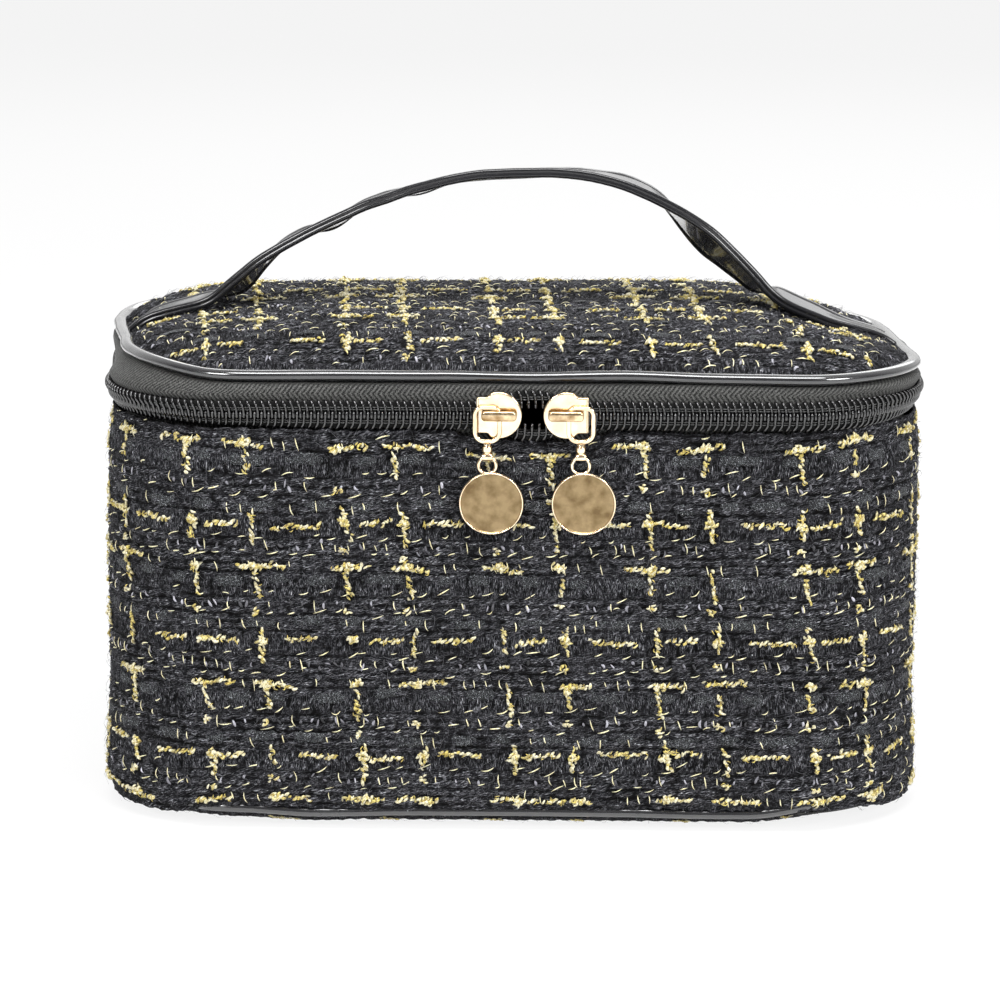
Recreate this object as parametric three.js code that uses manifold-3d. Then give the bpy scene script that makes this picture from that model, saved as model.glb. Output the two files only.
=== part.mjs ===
import * as THREE from 'three';
import { mergeVertices } from 'three/addons/utils/BufferGeometryUtils.js';
import Module from 'manifold-3d';

// Soft vanity case in tweed with a zip-round lid, millimetres, +Z up, front facing -Y.
// The origin is on the surface it stands on, under the middle of the case.

// Overall sizes of the case
const caseWidth = 236;
const caseDepth = 132;
const cornerRadius = 41;
const zipHeight = 121.9;
const lidCrown = 9.6;
const handleRise = 38.2;

// Material thicknesses and the gap kept between neighbouring pieces
const clearance = 0.3;
const tweedThickness = 2.6;
const foamThickness = 2.5;
const liningThickness = 0.6;
const bindingThickness = 0.6;
const tapeThickness = 0.8;
const boardThickness = 2.4;
const pipingDiameter = 3.2;
const flangeThickness = 0.5;
const seamDepth = 7;
const bindingLap = 3.9;

// Zip: a coil chain on two tapes, whose halves part between the sliders
const tapeRecess = 1;
const tapeGap = 2.4;
const tapeLap = 12.3;
const tapeRise = 8;
const chainWidth = 7.6;
const chainProud = 1.6;
const chainPart = 3.2;
const chainPartLead = 3.5;
const chainPartLag = 1;
const turnPitch = 2;
const turnDepth = 1.4;
const turnRelief = 0.7;
const turnShoulder = 0.5;
const turnCrest = 1.9;
const hemReveal = 5.6;
const hemDip = 2.1;
const hemDipReach = 26;
const hemRoll = 0.9;
const hemSlope = 2.6;
const zipPastCorner = 3.6;
const zipEndGap = 0.6;

// Sliders meeting head to head at the middle of the front
const sliderLength = 12.7;
const sliderHeadHeight = 13.2;
const sliderTailHeight = 10.2;
const sliderTailLength = 2.6;
const sliderPlate = 1.2;
const sliderBackPlate = 1;
const sliderBackHeight = 10;
const sliderRimWidth = 0.6;
const sliderRimEnd = 1.2;
const sliderCorner = 0.5;
const sliderBevel = 0.3;
const sliderSpacing = 18.7;
const sliderMeeting = 6.45;
const postLength = 3;
const postHeight = 1.7;
const postFromHead = 2.6;
const bridgeLength = 9.9;
const bridgeHeight = 3.2;
const bridgeThickness = 1.1;
const bridgeFootDiameter = 2;
const tunnelHeight = 1.9;
const unionOverlap = 0.2;

// Pullers: a D-shaped loop with a ribbed neck and an eye, and a disc hung on a ring
const loopWidth = 8.1;
const loopLength = 10.75;
const loopWire = 1.25;
const loopThickness = 1.2;
const loopCorner = 2.6;
const loopHeadroom = 0.3;
const neckLength = 3.6;
const neckDiameter = 2.8;
const neckWaist = 2;
const neckRibs = 3;
const eyeDiameter = 3.8;
const eyeHole = 1.9;
const eyeThickness = 1.4;
const ringDiameter = 5.4;
const ringWire = 1;
const discDiameter = 18;
const discThickness = 1.8;
const discRim = 1.2;
const discRecess = 0.45;
const discEdge = 0.35;
const discLap = 2;

// Handle: one flat strap from end to end of the lid, standing up in an arch
const strapWidth = 21;
const strapThickness = 2.4;
const liftLeftInset = 28;
const liftRightInset = 32;
const rootRiseShare = 0.52;
const strapCut = 0.5;
const tailEndInset = 4;

// How finely curves are cut
const cornerSteps = 6;
const pipingSteps = 7;
const roundSteps = 20;
const discSteps = 28;
const strapSteps = 40;

const halfWidth = caseWidth / 2;
const halfDepth = caseDepth / 2;

// Stops nearer together than this share of the clearance count as one
const stopSpacingShare = 0.01;
const stopSpacing = clearance * stopSpacingShare;

// Plan outline of the case, walked anticlockwise from the middle of the back
const backHalf = halfWidth - cornerRadius;
const sideRun = caseDepth - 2 * cornerRadius;
const frontRun = 2 * backHalf;
const cornerRun = cornerRadius * Math.PI / 2;
const legs = [
  { run: backHalf, bends: false },
  { run: cornerRun, bends: true },
  { run: sideRun, bends: false },
  { run: cornerRun, bends: true },
  { run: frontRun, bends: false },
  { run: cornerRun, bends: true },
  { run: sideRun, bends: false },
  { run: cornerRun, bends: true },
  { run: backHalf, bends: false },
];
const outlineLength = legs.reduce((sum, leg) => sum + leg.run, 0);
const frontMiddle = outlineLength / 2;

function outlineAt(distance) {
  let left = (distance + outlineLength) % outlineLength;
  let x = 0;
  let y = halfDepth;
  let heading = Math.PI;
  for (const leg of legs) {
    const run = Math.min(left, leg.run);
    if (leg.bends) {
      const centreX = x - Math.sin(heading) * cornerRadius;
      const centreY = y + Math.cos(heading) * cornerRadius;
      heading += run / cornerRadius;
      x = centreX + Math.sin(heading) * cornerRadius;
      y = centreY - Math.cos(heading) * cornerRadius;
    } else {
      x += Math.cos(heading) * run;
      y += Math.sin(heading) * run;
    }
    left -= run;
    if (left <= 0) break;
  }
  return { x, y, outX: Math.sin(heading), outY: -Math.cos(heading) };
}

// Distances at which a swept piece gets a section: its ends, the leg ends and steps round each corner
function sectionStops(from, to, extra = []) {
  const stops = [from, to, ...extra];
  let reached = 0;
  for (const leg of legs) {
    const steps = leg.bends ? cornerSteps : 1;
    for (let step = 0; step < steps; step += 1) stops.push(reached + leg.run * step / steps);
    reached += leg.run;
  }
  return stops
    .filter((stop) => stop >= from && stop <= to)
    .sort((a, b) => a - b)
    .filter((stop, i, all) => i === 0 || stop - all[i - 1] > stopSpacing);
}

// Turns a geometry's faces so that they point out of it
function facingOut(geometry) {
  const place = geometry.getAttribute('position');
  const index = geometry.getIndex().array;
  const a = new THREE.Vector3();
  const b = new THREE.Vector3();
  const c = new THREE.Vector3();
  let volume = 0;
  for (let i = 0; i < index.length; i += 3) {
    a.fromBufferAttribute(place, index[i]);
    b.fromBufferAttribute(place, index[i + 1]);
    c.fromBufferAttribute(place, index[i + 2]);
    volume += a.dot(b.cross(c));
  }
  if (volume < 0) {
    for (let i = 0; i < index.length; i += 3) [index[i], index[i + 1]] = [index[i + 1], index[i]];
  }
  return geometry;
}

// Fills the end of a skin from its flat outline, in the order the outline runs
function capFaces(flat) {
  const points = flat.map(([u, v]) => new THREE.Vector2(u, v));
  const runs = Math.sign(THREE.ShapeUtils.area(points));
  return THREE.ShapeUtils.triangulateShape(points, []).map(([a, b, c]) => {
    const turn = Math.sign(THREE.ShapeUtils.area([points[a], points[b], points[c]]));
    return turn === runs ? [a, b, c] : [a, c, b];
  });
}

// Joins rings of points into one closed body; ends are capped unless the rings close on themselves
function skin(rings, flatEnds) {
  const count = rings[0].length;
  const index = [];
  const spans = flatEnds ? rings.length - 1 : rings.length;
  for (let ring = 0; ring < spans; ring += 1) {
    const next = (ring + 1) % rings.length;
    for (let point = 0; point < count; point += 1) {
      const beside = (point + 1) % count;
      const a = ring * count + point;
      const b = ring * count + beside;
      const c = next * count + beside;
      const d = next * count + point;
      index.push(a, b, c, a, c, d);
    }
  }
  if (flatEnds) {
    const last = (rings.length - 1) * count;
    for (const [a, b, c] of capFaces(flatEnds[0])) index.push(a, c, b);
    for (const [a, b, c] of capFaces(flatEnds[1])) index.push(last + a, last + b, last + c);
  }
  const geometry = new THREE.BufferGeometry();
  geometry.setAttribute('position', new THREE.Float32BufferAttribute(rings.flat(2), 3));
  geometry.setIndex(index);
  return facingOut(geometry);
}

// Carries a profile of [inset, height] points round the outline
function sweep(profileAt, stops, closed) {
  const rings = stops.map((stop) => {
    const { x, y, outX, outY } = outlineAt(stop);
    return profileAt(stop).map(([inset, z]) => [x - outX * inset, y - outY * inset, z]);
  });
  if (closed) return skin(rings, null);
  return skin(rings, [profileAt(stops[0]), profileAt(stops[stops.length - 1])]);
}

function sweepRound(profile) {
  return sweep(() => profile, sectionStops(0, outlineLength - clearance), true);
}

function sweepZip(profileAt, extra) {
  return sweep(profileAt, sectionStops(zipStart, outlineLength - zipStart, extra), false);
}

function sweepBack(profile) {
  return sweep(() => profile, [-backPanelHalf, backPanelHalf], false);
}

// One rounded-rectangle ring, inset from the outline; deep insets keep a rounded corner
const innerCornerShare = 0.5;
function outlineRing(inset, z) {
  const radius = Math.max(cornerRadius - inset, (halfDepth - inset) * innerCornerShare);
  const reachX = halfWidth - inset - radius;
  const reachY = halfDepth - inset - radius;
  const ring = [];
  for (let corner = 0; corner < 4; corner += 1) {
    const sideX = corner === 0 || corner === 3 ? 1 : -1;
    const sideY = corner < 2 ? 1 : -1;
    for (let step = 0; step <= cornerSteps; step += 1) {
      const angle = (corner + step / cornerSteps) * Math.PI / 2;
      ring.push([
        sideX * reachX + radius * Math.cos(angle),
        sideY * reachY + radius * Math.sin(angle),
        z,
      ]);
    }
  }
  return ring;
}

// A sheet or pad built of rings from its underside to its top
function plate(levels) {
  const rings = levels.map(([inset, z]) => outlineRing(inset, z));
  const flat = (ring) => ring.map(([x, y]) => [x, y]);
  return skin(rings, [flat(rings[0]), flat(rings[rings.length - 1])]);
}

// Solids that are joined or cut
const wasm = await Module();
wasm.setup();

function toSolid(geometry) {
  const bare = geometry.clone();
  bare.deleteAttribute('normal');
  bare.deleteAttribute('uv');
  const merged = mergeVertices(bare);
  facingOut(merged);
  return new wasm.Manifold(new wasm.Mesh({
    numProp: 3,
    vertProperties: new Float32Array(merged.getAttribute('position').array),
    triVerts: new Uint32Array(merged.getIndex().array),
  }));
}

function toGeometry(solid) {
  const mesh = solid.getMesh();
  const geometry = new THREE.BufferGeometry();
  const places = [];
  for (let i = 0; i < mesh.vertProperties.length; i += mesh.numProp) {
    places.push(mesh.vertProperties[i], mesh.vertProperties[i + 1], mesh.vertProperties[i + 2]);
  }
  geometry.setAttribute('position', new THREE.Float32BufferAttribute(places, 3));
  geometry.setIndex([...mesh.triVerts]);
  return geometry;
}

function joined(geometries) {
  const solids = geometries.map(toSolid);
  return toGeometry(solids.slice(1).reduce((sum, solid) => sum.add(solid), solids[0]));
}

// A shape drawn as seen from the front, made solid between two heights above the wall
function proudOf(shape, from, to, bevel = 0) {
  const geometry = new THREE.ExtrudeGeometry(shape, {
    depth: to - from - 2 * bevel,
    curveSegments: roundSteps / 4,
    bevelEnabled: bevel > 0,
    bevelThickness: bevel,
    bevelSize: bevel,
    bevelOffset: -bevel,
    bevelSegments: 1,
  });
  geometry.translate(0, 0, from + bevel);
  geometry.rotateX(Math.PI / 2);
  return geometry;
}

const caseGroup = new THREE.Group();

function addPiece(parent, name, geometry, color, roughness, metalness = 0) {
  const material = new THREE.MeshStandardMaterial({ color, roughness, metalness });
  const mesh = new THREE.Mesh(geometry, material);
  mesh.name = name;
  parent.add(mesh);
  return mesh;
}

const tweedColor = 0x17171b;
const leatherColor = 0x0b0b0c;
const tapeColor = 0x141416;
const liningColor = 0x1b1b1f;
const foamColor = 0xd8d6cf;
const boardColor = 0x6f6a60;
const goldColor = 0xe6c184;
const tweedRoughness = 0.95;
const leatherRoughness = 0.3;
const tapeRoughness = 0.75;
const foamRoughness = 0.9;
const goldRoughness = 0.25;

// Insets of each layer of the wall, from the tweed in to the lining
const tapeSewnInset = tweedThickness + clearance;
const foamInset = tapeSewnInset + tapeThickness + clearance;
const liningInset = foamInset + foamThickness + clearance;
const rimInset = liningInset + liningThickness + clearance;
const pipingRadius = pipingDiameter / 2;
const bindingSpine = seamDepth + clearance;
const seamInset = bindingSpine + bindingThickness + clearance;
const panelEdge = pipingDiameter + clearance;
const bindingStart = bindingSpine - bindingLap;

// Heights of the base, from the floor up to the foot of the wall
const baseTop = tweedThickness;
const baseFlange = baseTop + clearance;
const basePipingHeight = baseFlange + pipingRadius;
const baseBindingLeg = baseFlange + flangeThickness + clearance;
const baseBoardTop = baseFlange + boardThickness;
const baseLiningTop = baseBoardTop + clearance + liningThickness;
const wallFoot = basePipingHeight + pipingRadius + clearance;
const innerFoot = Math.max(baseLiningTop + clearance, baseFlange + pipingRadius);

// Heights of the rim and of the seam that joins the zip to the lid
const hemTop = zipHeight - hemReveal;
const innerTop = hemTop - hemSlope - clearance;
const tapeTop = zipHeight + tapeRise;
const lidFlange = tapeTop + clearance;
const lidPipingHeight = lidFlange + pipingRadius;
const lidShelf = lidFlange + flangeThickness + clearance;
const lidBindingTop = tapeTop - tapeThickness - clearance;
const lidLiningTop = lidBindingTop;
const lidEdgeTop = lidPipingHeight + flangeThickness;

const backPanelHalf = backHalf - zipPastCorner;
const zipStart = backPanelHalf + clearance;

// Piping: a round cord in leathercloth with a flat flange that is sewn into the seam
function pipingProfile(foot) {
  const rise = flangeThickness - pipingRadius;
  const meet = Math.asin(rise / pipingRadius);
  const turn = 3 * Math.PI / 2 - meet;
  const points = [[seamDepth, foot + flangeThickness]];
  for (let step = 0; step <= pipingSteps; step += 1) {
    const angle = meet + turn * step / pipingSteps;
    points.push([
      pipingRadius + pipingRadius * Math.cos(angle),
      foot + pipingRadius + pipingRadius * Math.sin(angle),
    ]);
  }
  points.push([seamDepth, foot]);
  return points;
}

// Base: a tweed panel, piping round its edge, a stiff board and a lining on top
const baseInset = hemRoll;
const baseRound = tweedThickness / 3;
addPiece(caseGroup, 'base_panel', plate([
  [baseInset + baseRound, 0],
  [baseInset, baseRound],
  [baseInset, baseTop - baseRound],
  [baseInset + baseRound, baseTop],
]), tweedColor, tweedRoughness);
addPiece(caseGroup, 'base_piping', sweepRound(pipingProfile(baseFlange)),
  leatherColor, leatherRoughness);
addPiece(caseGroup, 'base_seam_binding', sweepRound([
  [bindingStart, baseBindingLeg],
  [bindingSpine, baseBindingLeg],
  [bindingSpine, baseFlange],
  [bindingSpine + bindingThickness, baseFlange],
  [bindingSpine + bindingThickness, baseBindingLeg + bindingThickness],
  [bindingStart, baseBindingLeg + bindingThickness],
]), tapeColor, tapeRoughness);
addPiece(caseGroup, 'base_board', plate([
  [seamInset, baseFlange],
  [seamInset, baseBoardTop],
]), boardColor, foamRoughness);
addPiece(caseGroup, 'base_lining', plate([
  [foamInset, baseBoardTop + clearance],
  [foamInset, baseLiningTop],
]), liningColor, tapeRoughness);

// Sliders' places along the front
const leftSliderX = sliderMeeting - sliderSpacing / 2;
const rightSliderX = sliderMeeting + sliderSpacing / 2;
const halfSlider = sliderLength / 2;
const postFromMiddle = halfSlider - postFromHead;

// How far the wall's hem is drawn down about the sliders, at a place along the outline
function hemDipAt(stop) {
  const away = Math.abs(stop - frontMiddle - sliderMeeting);
  return hemDip * (1 - THREE.MathUtils.smoothstep(away, sliderSpacing / 2, hemDipReach));
}
const hemStopShares = [0, 0.25, 0.5, 0.75, 1];
const hemStops = hemStopShares.flatMap((share) => {
  const away = THREE.MathUtils.lerp(sliderSpacing / 2, hemDipReach, share);
  return [frontMiddle + sliderMeeting - away, frontMiddle + sliderMeeting + away];
});

// Wall: tweed outside, foam between, lining inside, and a binding over their raw top edges
function wallProfile(dip) {
  return [
    [hemRoll, wallFoot],
    [0, wallFoot + hemSlope],
    [0, hemTop - hemRoll - dip],
    [hemRoll, hemTop - dip],
    [tweedThickness, hemTop - hemSlope - dip],
    [tweedThickness, wallFoot],
  ];
}
addPiece(caseGroup, 'front_wrap', sweepZip((stop) => wallProfile(hemDipAt(stop)), hemStops),
  tweedColor, tweedRoughness);
addPiece(caseGroup, 'back_panel', sweepBack(wallProfile(0)), tweedColor, tweedRoughness);
addPiece(caseGroup, 'wall_stiffener', sweepRound([
  [foamInset, innerFoot],
  [foamInset, innerTop],
  [foamInset + foamThickness, innerTop],
  [foamInset + foamThickness, innerFoot],
]), foamColor, foamRoughness);
addPiece(caseGroup, 'wall_lining', sweepRound([
  [liningInset, innerFoot],
  [liningInset, innerTop],
  [liningInset + liningThickness, innerTop],
  [liningInset + liningThickness, innerFoot],
]), liningColor, tapeRoughness);
addPiece(caseGroup, 'rim_binding', sweepRound([
  [foamInset, innerTop + clearance],
  [rimInset, innerTop + clearance],
  [rimInset, innerTop - tapeRise],
  [rimInset + bindingThickness, innerTop - tapeRise],
  [rimInset + bindingThickness, innerTop + clearance + bindingThickness],
  [foamInset, innerTop + clearance + bindingThickness],
]), tapeColor, tapeRoughness);

// Zip tapes: the lower one runs down behind the tweed, the upper one turns in under the lid piping
const lowerTapeEdge = zipHeight - tapeGap / 2;
const upperTapeEdge = zipHeight + tapeGap / 2;
const tapeBack = tapeRecess + tapeThickness;
addPiece(caseGroup, 'lower_zip_tape', sweepZip(() => [
  [tapeRecess, lowerTapeEdge],
  [tapeRecess, hemTop + clearance],
  [tapeSewnInset, hemTop - hemSlope],
  [tapeSewnInset, hemTop - tapeLap],
  [tapeSewnInset + tapeThickness, hemTop - tapeLap],
  [tapeSewnInset + tapeThickness, hemTop - hemSlope],
  [tapeBack, hemTop + clearance],
  [tapeBack, lowerTapeEdge],
]), tapeColor, tapeRoughness);
addPiece(caseGroup, 'upper_zip_tape', sweepZip(() => [
  [tapeRecess, upperTapeEdge],
  [tapeRecess, tapeTop],
  [seamDepth, tapeTop],
  [seamDepth, tapeTop - tapeThickness],
  [tapeBack, tapeTop - tapeThickness],
  [tapeBack, upperTapeEdge],
]), tapeColor, tapeRoughness);

// Share of the chain's parting at a place along the outline: 0 where its halves mesh
function openShareAt(stop) {
  const along = stop - frontMiddle;
  const partRun = chainPartLead + halfSlider + chainPartLag;
  const fromLeft = (along - leftSliderX + chainPartLead) / partRun;
  const fromRight = (rightSliderX + chainPartLead - along) / partRun;
  return THREE.MathUtils.smoothstep(Math.min(fromLeft, fromRight), 0, 1);
}

// Chain: each half is a comb of coil turns that reach between the turns of the other half
const halfPitch = turnPitch / 2;
const turnsApart = clearance * Math.hypot(1, turnDepth / halfPitch);
const turnTip = (turnsApart - turnDepth) / 2;
const chainReach = Math.floor((frontMiddle - zipStart - zipEndGap) / halfPitch);
const chainStops = Array.from({ length: 2 * chainReach + 1 }, (_, i) => {
  return frontMiddle + (i - chainReach) * halfPitch;
});

function chainProfile(stop, side) {
  const parted = chainPart * openShareAt(stop);
  const step = Math.round((stop - frontMiddle) / halfPitch);
  const isTurn = (step % 2 === 0) === (side > 0);
  const inner = turnTip + parted + (isTurn ? 0 : turnDepth);
  const outer = chainWidth / 2 + parted - (isTurn ? 0 : turnShoulder);
  const crest = turnTip + parted + turnCrest;
  const proud = chainProud - (isTurn ? 0 : turnRelief);
  const back = tapeRecess - clearance;
  return [
    [back, zipHeight + side * inner],
    [-proud, zipHeight + side * crest],
    [back, zipHeight + side * outer],
  ];
}
for (const [name, side] of [['zip_chain_lower', -1], ['zip_chain_upper', 1]]) {
  addPiece(caseGroup, name, sweep((stop) => chainProfile(stop, side), chainStops, false),
    tapeColor, tapeRoughness);
}

// Fabric hinge: a strip of the tweed that joins the back to the lid where the zip stops
addPiece(caseGroup, 'hinge_strip', sweepBack([
  [hemRoll, hemTop + clearance],
  [0, hemTop + clearance + hemRoll],
  [0, tapeTop - hemRoll],
  [hemRoll, tapeTop],
  [tweedThickness, tapeTop],
  [tweedThickness, hemTop + clearance],
]), tweedColor, tweedRoughness);

// Lid: a crowned tweed panel over a foam pad and a flat lining, piped round its edge
const lidGroup = new THREE.Group();
caseGroup.add(lidGroup);
const shoulderPower = 6;
const edgeShare = 0.4;
const crownShares = [0.03, 0.1, 0.2, 0.37, 0.6, 0.85];
const crownInsets = crownShares.map((share) => seamInset + share * (halfDepth - seamInset));
const surfaceInsets = [
  panelEdge,
  panelEdge + edgeShare * (seamInset - panelEdge),
  ...crownInsets,
];

function crownAt(inset) {
  const reach = (inset - panelEdge) / (halfDepth - panelEdge);
  return lidEdgeTop + lidCrown * (1 - (1 - reach) ** shoulderPower);
}

const padGap = clearance * 2;
addPiece(lidGroup, 'lid_panel', plate([
  ...crownInsets.toReversed().map((inset) => [inset, crownAt(inset) - tweedThickness]),
  [seamInset, lidShelf],
  [panelEdge, lidShelf],
  ...surfaceInsets.map((inset) => [inset, crownAt(inset)]),
]), tweedColor, tweedRoughness);
addPiece(lidGroup, 'lid_pad', plate([
  [seamInset, lidLiningTop + clearance],
  [seamInset, lidShelf - clearance],
  ...crownInsets.map((inset) => [inset + clearance, crownAt(inset) - tweedThickness - padGap]),
]), foamColor, foamRoughness);
addPiece(lidGroup, 'lid_lining', plate([
  [seamInset, lidLiningTop - liningThickness],
  [seamInset, lidLiningTop],
]), liningColor, tapeRoughness);
addPiece(lidGroup, 'lid_piping', sweepRound(pipingProfile(lidFlange)),
  leatherColor, leatherRoughness);
addPiece(lidGroup, 'lid_seam_binding', sweepRound([
  [bindingStart, lidBindingTop - bindingThickness],
  [bindingSpine + bindingThickness, lidBindingTop - bindingThickness],
  [bindingSpine + bindingThickness, lidFlange + flangeThickness],
  [bindingSpine, lidFlange + flangeThickness],
  [bindingSpine, lidBindingTop],
  [bindingStart, lidBindingTop],
]), tapeColor, tapeRoughness);

// Height of the lid's faceted top at an inset, for what lies on it
function lidSurfaceAt(inset) {
  const last = surfaceInsets.length - 1;
  const next = Math.max(1, surfaceInsets.findIndex((edge) => edge >= inset));
  const upper = Math.min(next, last);
  const low = surfaceInsets[upper - 1];
  const high = surfaceInsets[upper];
  return THREE.MathUtils.mapLinear(inset, low, high, crownAt(low), crownAt(high));
}

// Strap pieces are drawn from the side: a line, and the heights of the strap's faces over it
function strapPiece(line, low, high) {
  const mitres = line.map((point, i) => {
    const before = i === 0 ? line[1].clone().sub(point) : point.clone().sub(line[i - 1]);
    const after = i === line.length - 1 ? before.clone() : line[i + 1].clone().sub(point);
    const first = new THREE.Vector2(-before.y, before.x).normalize();
    const second = new THREE.Vector2(-after.y, after.x).normalize();
    return first.clone().add(second).divideScalar(1 + first.dot(second));
  });
  const raised = (height) => line.map((point, i) => {
    return point.clone().add(mitres[i].clone().multiplyScalar(height));
  });
  const shape = new THREE.Shape([...raised(low), ...raised(high).toReversed()]);
  const geometry = new THREE.ExtrudeGeometry(shape, { depth: strapWidth, bevelEnabled: false });
  geometry.translate(0, 0, -strapWidth / 2);
  geometry.rotateX(Math.PI / 2);
  return geometry;
}

// Strap ends: sewn flat on the lid and into its side seams, drawn from left to right
function tailPiece(side, liftInset) {
  const insets = [
    tailEndInset,
    ...surfaceInsets.filter((inset) => inset > tailEndInset && inset < liftInset),
    liftInset,
  ];
  const line = insets.map((inset) => {
    return new THREE.Vector2(side * (halfWidth - inset), lidSurfaceAt(inset));
  });
  const rightwards = side < 0 ? line : line.toReversed();
  return strapPiece(rightwards, clearance, clearance + strapThickness);
}
addPiece(lidGroup, 'handle_tail_left', tailPiece(-1, liftLeftInset), leatherColor, leatherRoughness);
addPiece(lidGroup, 'handle_tail_right', tailPiece(1, liftRightInset), leatherColor, leatherRoughness);

// Arch of the strap: shares of its span and of its rise, which leans a little to the right
const archShares = [
  [0, 0], [0.02, 0.02], [0.05, 0.17], [0.136, 0.479], [0.222, 0.662], [0.307, 0.825],
  [0.409, 0.96], [0.511, 1], [0.619, 0.982], [0.699, 0.893], [0.761, 0.741], [0.818, 0.558],
  [0.864, 0.382], [0.909, 0.217], [0.955, 0.06], [0.985, 0.004], [1, 0],
];
const archLeft = liftLeftInset - halfWidth + strapCut;
const archRight = halfWidth - liftRightInset - strapCut;
const halfStrap = strapThickness / 2;
const archFoot = lidSurfaceAt(liftLeftInset) + clearance + halfStrap;
const archFootRight = lidSurfaceAt(liftRightInset) + clearance + halfStrap;
const archPoints = archShares.map(([along, rise]) => new THREE.Vector2(
  THREE.MathUtils.lerp(archLeft, archRight, along),
  THREE.MathUtils.lerp(archFoot, archFootRight, along) + handleRise * rise,
));
const archLine = new THREE.SplineCurve(archPoints).getPoints(strapSteps);
const rootTop = archFoot + handleRise * rootRiseShare;
const archMiddle = (archLeft + archRight) / 2;
const isRoot = (point) => point.y < rootTop;
const leftRootLine = archLine.filter((point) => isRoot(point) && point.x < archMiddle);
const rightRootLine = archLine.filter((point) => isRoot(point) && point.x > archMiddle);
const strapLine = archLine.filter((point) => !isRoot(point));

// Lengthens a root to the arch, less the cut between them
function reachedTo(line, arch) {
  const end = line[line.length - 1];
  const gap = arch.clone().sub(end);
  return [...line, end.clone().add(gap.multiplyScalar(1 - strapCut / gap.length()))];
}
const leftRoot = reachedTo(leftRootLine, strapLine[0]);
const rightRoot = reachedTo(rightRootLine.toReversed(), strapLine[strapLine.length - 1]).toReversed();
const handleGroup = new THREE.Group();
lidGroup.add(handleGroup);
addPiece(handleGroup, 'handle_root_left', strapPiece(leftRoot, -halfStrap, halfStrap),
  leatherColor, leatherRoughness);
addPiece(handleGroup, 'handle_root_right', strapPiece(rightRoot, -halfStrap, halfStrap),
  leatherColor, leatherRoughness);
addPiece(handleGroup, 'handle_strap', strapPiece(strapLine, -halfStrap, halfStrap),
  leatherColor, leatherRoughness);

// Slider plate: a square tail that opens into a round head, which faces the other slider
const plateBack = chainProud + clearance;
const plateFace = plateBack + sliderPlate;
const barBack = plateFace + tunnelHeight;
const footFromMiddle = bridgeLength / 2 - loopWire;
const headRadius = sliderHeadHeight / 2;
const headX = halfSlider - headRadius;
const tailEnd = -halfSlider;
const neckX = tailEnd + sliderTailLength;
const headMeetShare = 0.6;
const headMeet = headMeetShare * Math.PI;
const meetX = headX + headRadius * Math.cos(headMeet);
const meetZ = headRadius * Math.sin(headMeet);

function sliderOutline() {
  const halfTail = sliderTailHeight / 2;
  const shape = new THREE.Shape();
  shape.moveTo(tailEnd, -halfTail + sliderCorner);
  shape.lineTo(tailEnd + sliderCorner, -halfTail);
  shape.lineTo(neckX, -halfTail);
  shape.quadraticCurveTo((neckX + meetX) / 2, -halfTail, meetX, -meetZ);
  shape.absarc(headX, 0, headRadius, -headMeet, headMeet, false);
  shape.quadraticCurveTo((neckX + meetX) / 2, halfTail, neckX, halfTail);
  shape.lineTo(tailEnd + sliderCorner, halfTail);
  shape.lineTo(tailEnd, halfTail - sliderCorner);
  shape.closePath();
  return shape;
}

// Rim of the slider: turns in beside the chain along one long edge of the plate
function sliderRim(side) {
  const endZ = Math.sqrt(headRadius ** 2 - (sliderRimEnd - headX) ** 2);
  const edge = [
    [tailEnd + sliderBevel, sliderTailHeight / 2],
    [neckX, sliderTailHeight / 2],
    [meetX, meetZ],
    [headX, headRadius],
    [sliderRimEnd, endZ],
  ];
  const outer = edge.map(([x, z]) => new THREE.Vector2(x, side * (z - sliderBevel)));
  const inner = edge.map(([x, z]) => {
    return new THREE.Vector2(x, side * (z - sliderBevel - sliderRimWidth));
  });
  return new THREE.Shape([...outer, ...inner.toReversed()]);
}

function boxShape(width, height, middleX) {
  return new THREE.Shape([
    new THREE.Vector2(middleX - width / 2, -height / 2),
    new THREE.Vector2(middleX + width / 2, -height / 2),
    new THREE.Vector2(middleX + width / 2, height / 2),
    new THREE.Vector2(middleX - width / 2, height / 2),
  ]);
}

function circleShape(diameter, middleX) {
  const shape = new THREE.Shape();
  shape.absarc(middleX, 0, diameter / 2, 0, 2 * Math.PI, false);
  return shape;
}

// Diamond post that parts the chain, joining the two plates at the head
function postShape() {
  return new THREE.Shape([
    new THREE.Vector2(postFromMiddle - postLength / 2, 0),
    new THREE.Vector2(postFromMiddle, -postHeight / 2),
    new THREE.Vector2(postFromMiddle + postLength / 2, 0),
    new THREE.Vector2(postFromMiddle, postHeight / 2),
  ]);
}

function sliderGeometry() {
  const backFace = -(tapeBack + clearance);
  const rimFoot = clearance;
  return joined([
    proudOf(sliderOutline(), plateBack, plateFace, sliderBevel),
    proudOf(sliderRim(1), rimFoot, plateBack + unionOverlap),
    proudOf(sliderRim(-1), rimFoot, plateBack + unionOverlap),
    proudOf(boxShape(sliderLength - 2 * sliderCorner, sliderBackHeight, 0),
      backFace - sliderBackPlate, backFace),
    proudOf(postShape(), backFace - unionOverlap, plateBack + unionOverlap),
    proudOf(circleShape(bridgeFootDiameter, -footFromMiddle), plateFace - unionOverlap,
      barBack + unionOverlap),
    proudOf(circleShape(bridgeFootDiameter, footFromMiddle), plateFace - unionOverlap,
      barBack + unionOverlap),
    proudOf(boxShape(bridgeLength, bridgeHeight, 0), barBack, barBack + bridgeThickness,
      sliderBevel),
  ]);
}

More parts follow.
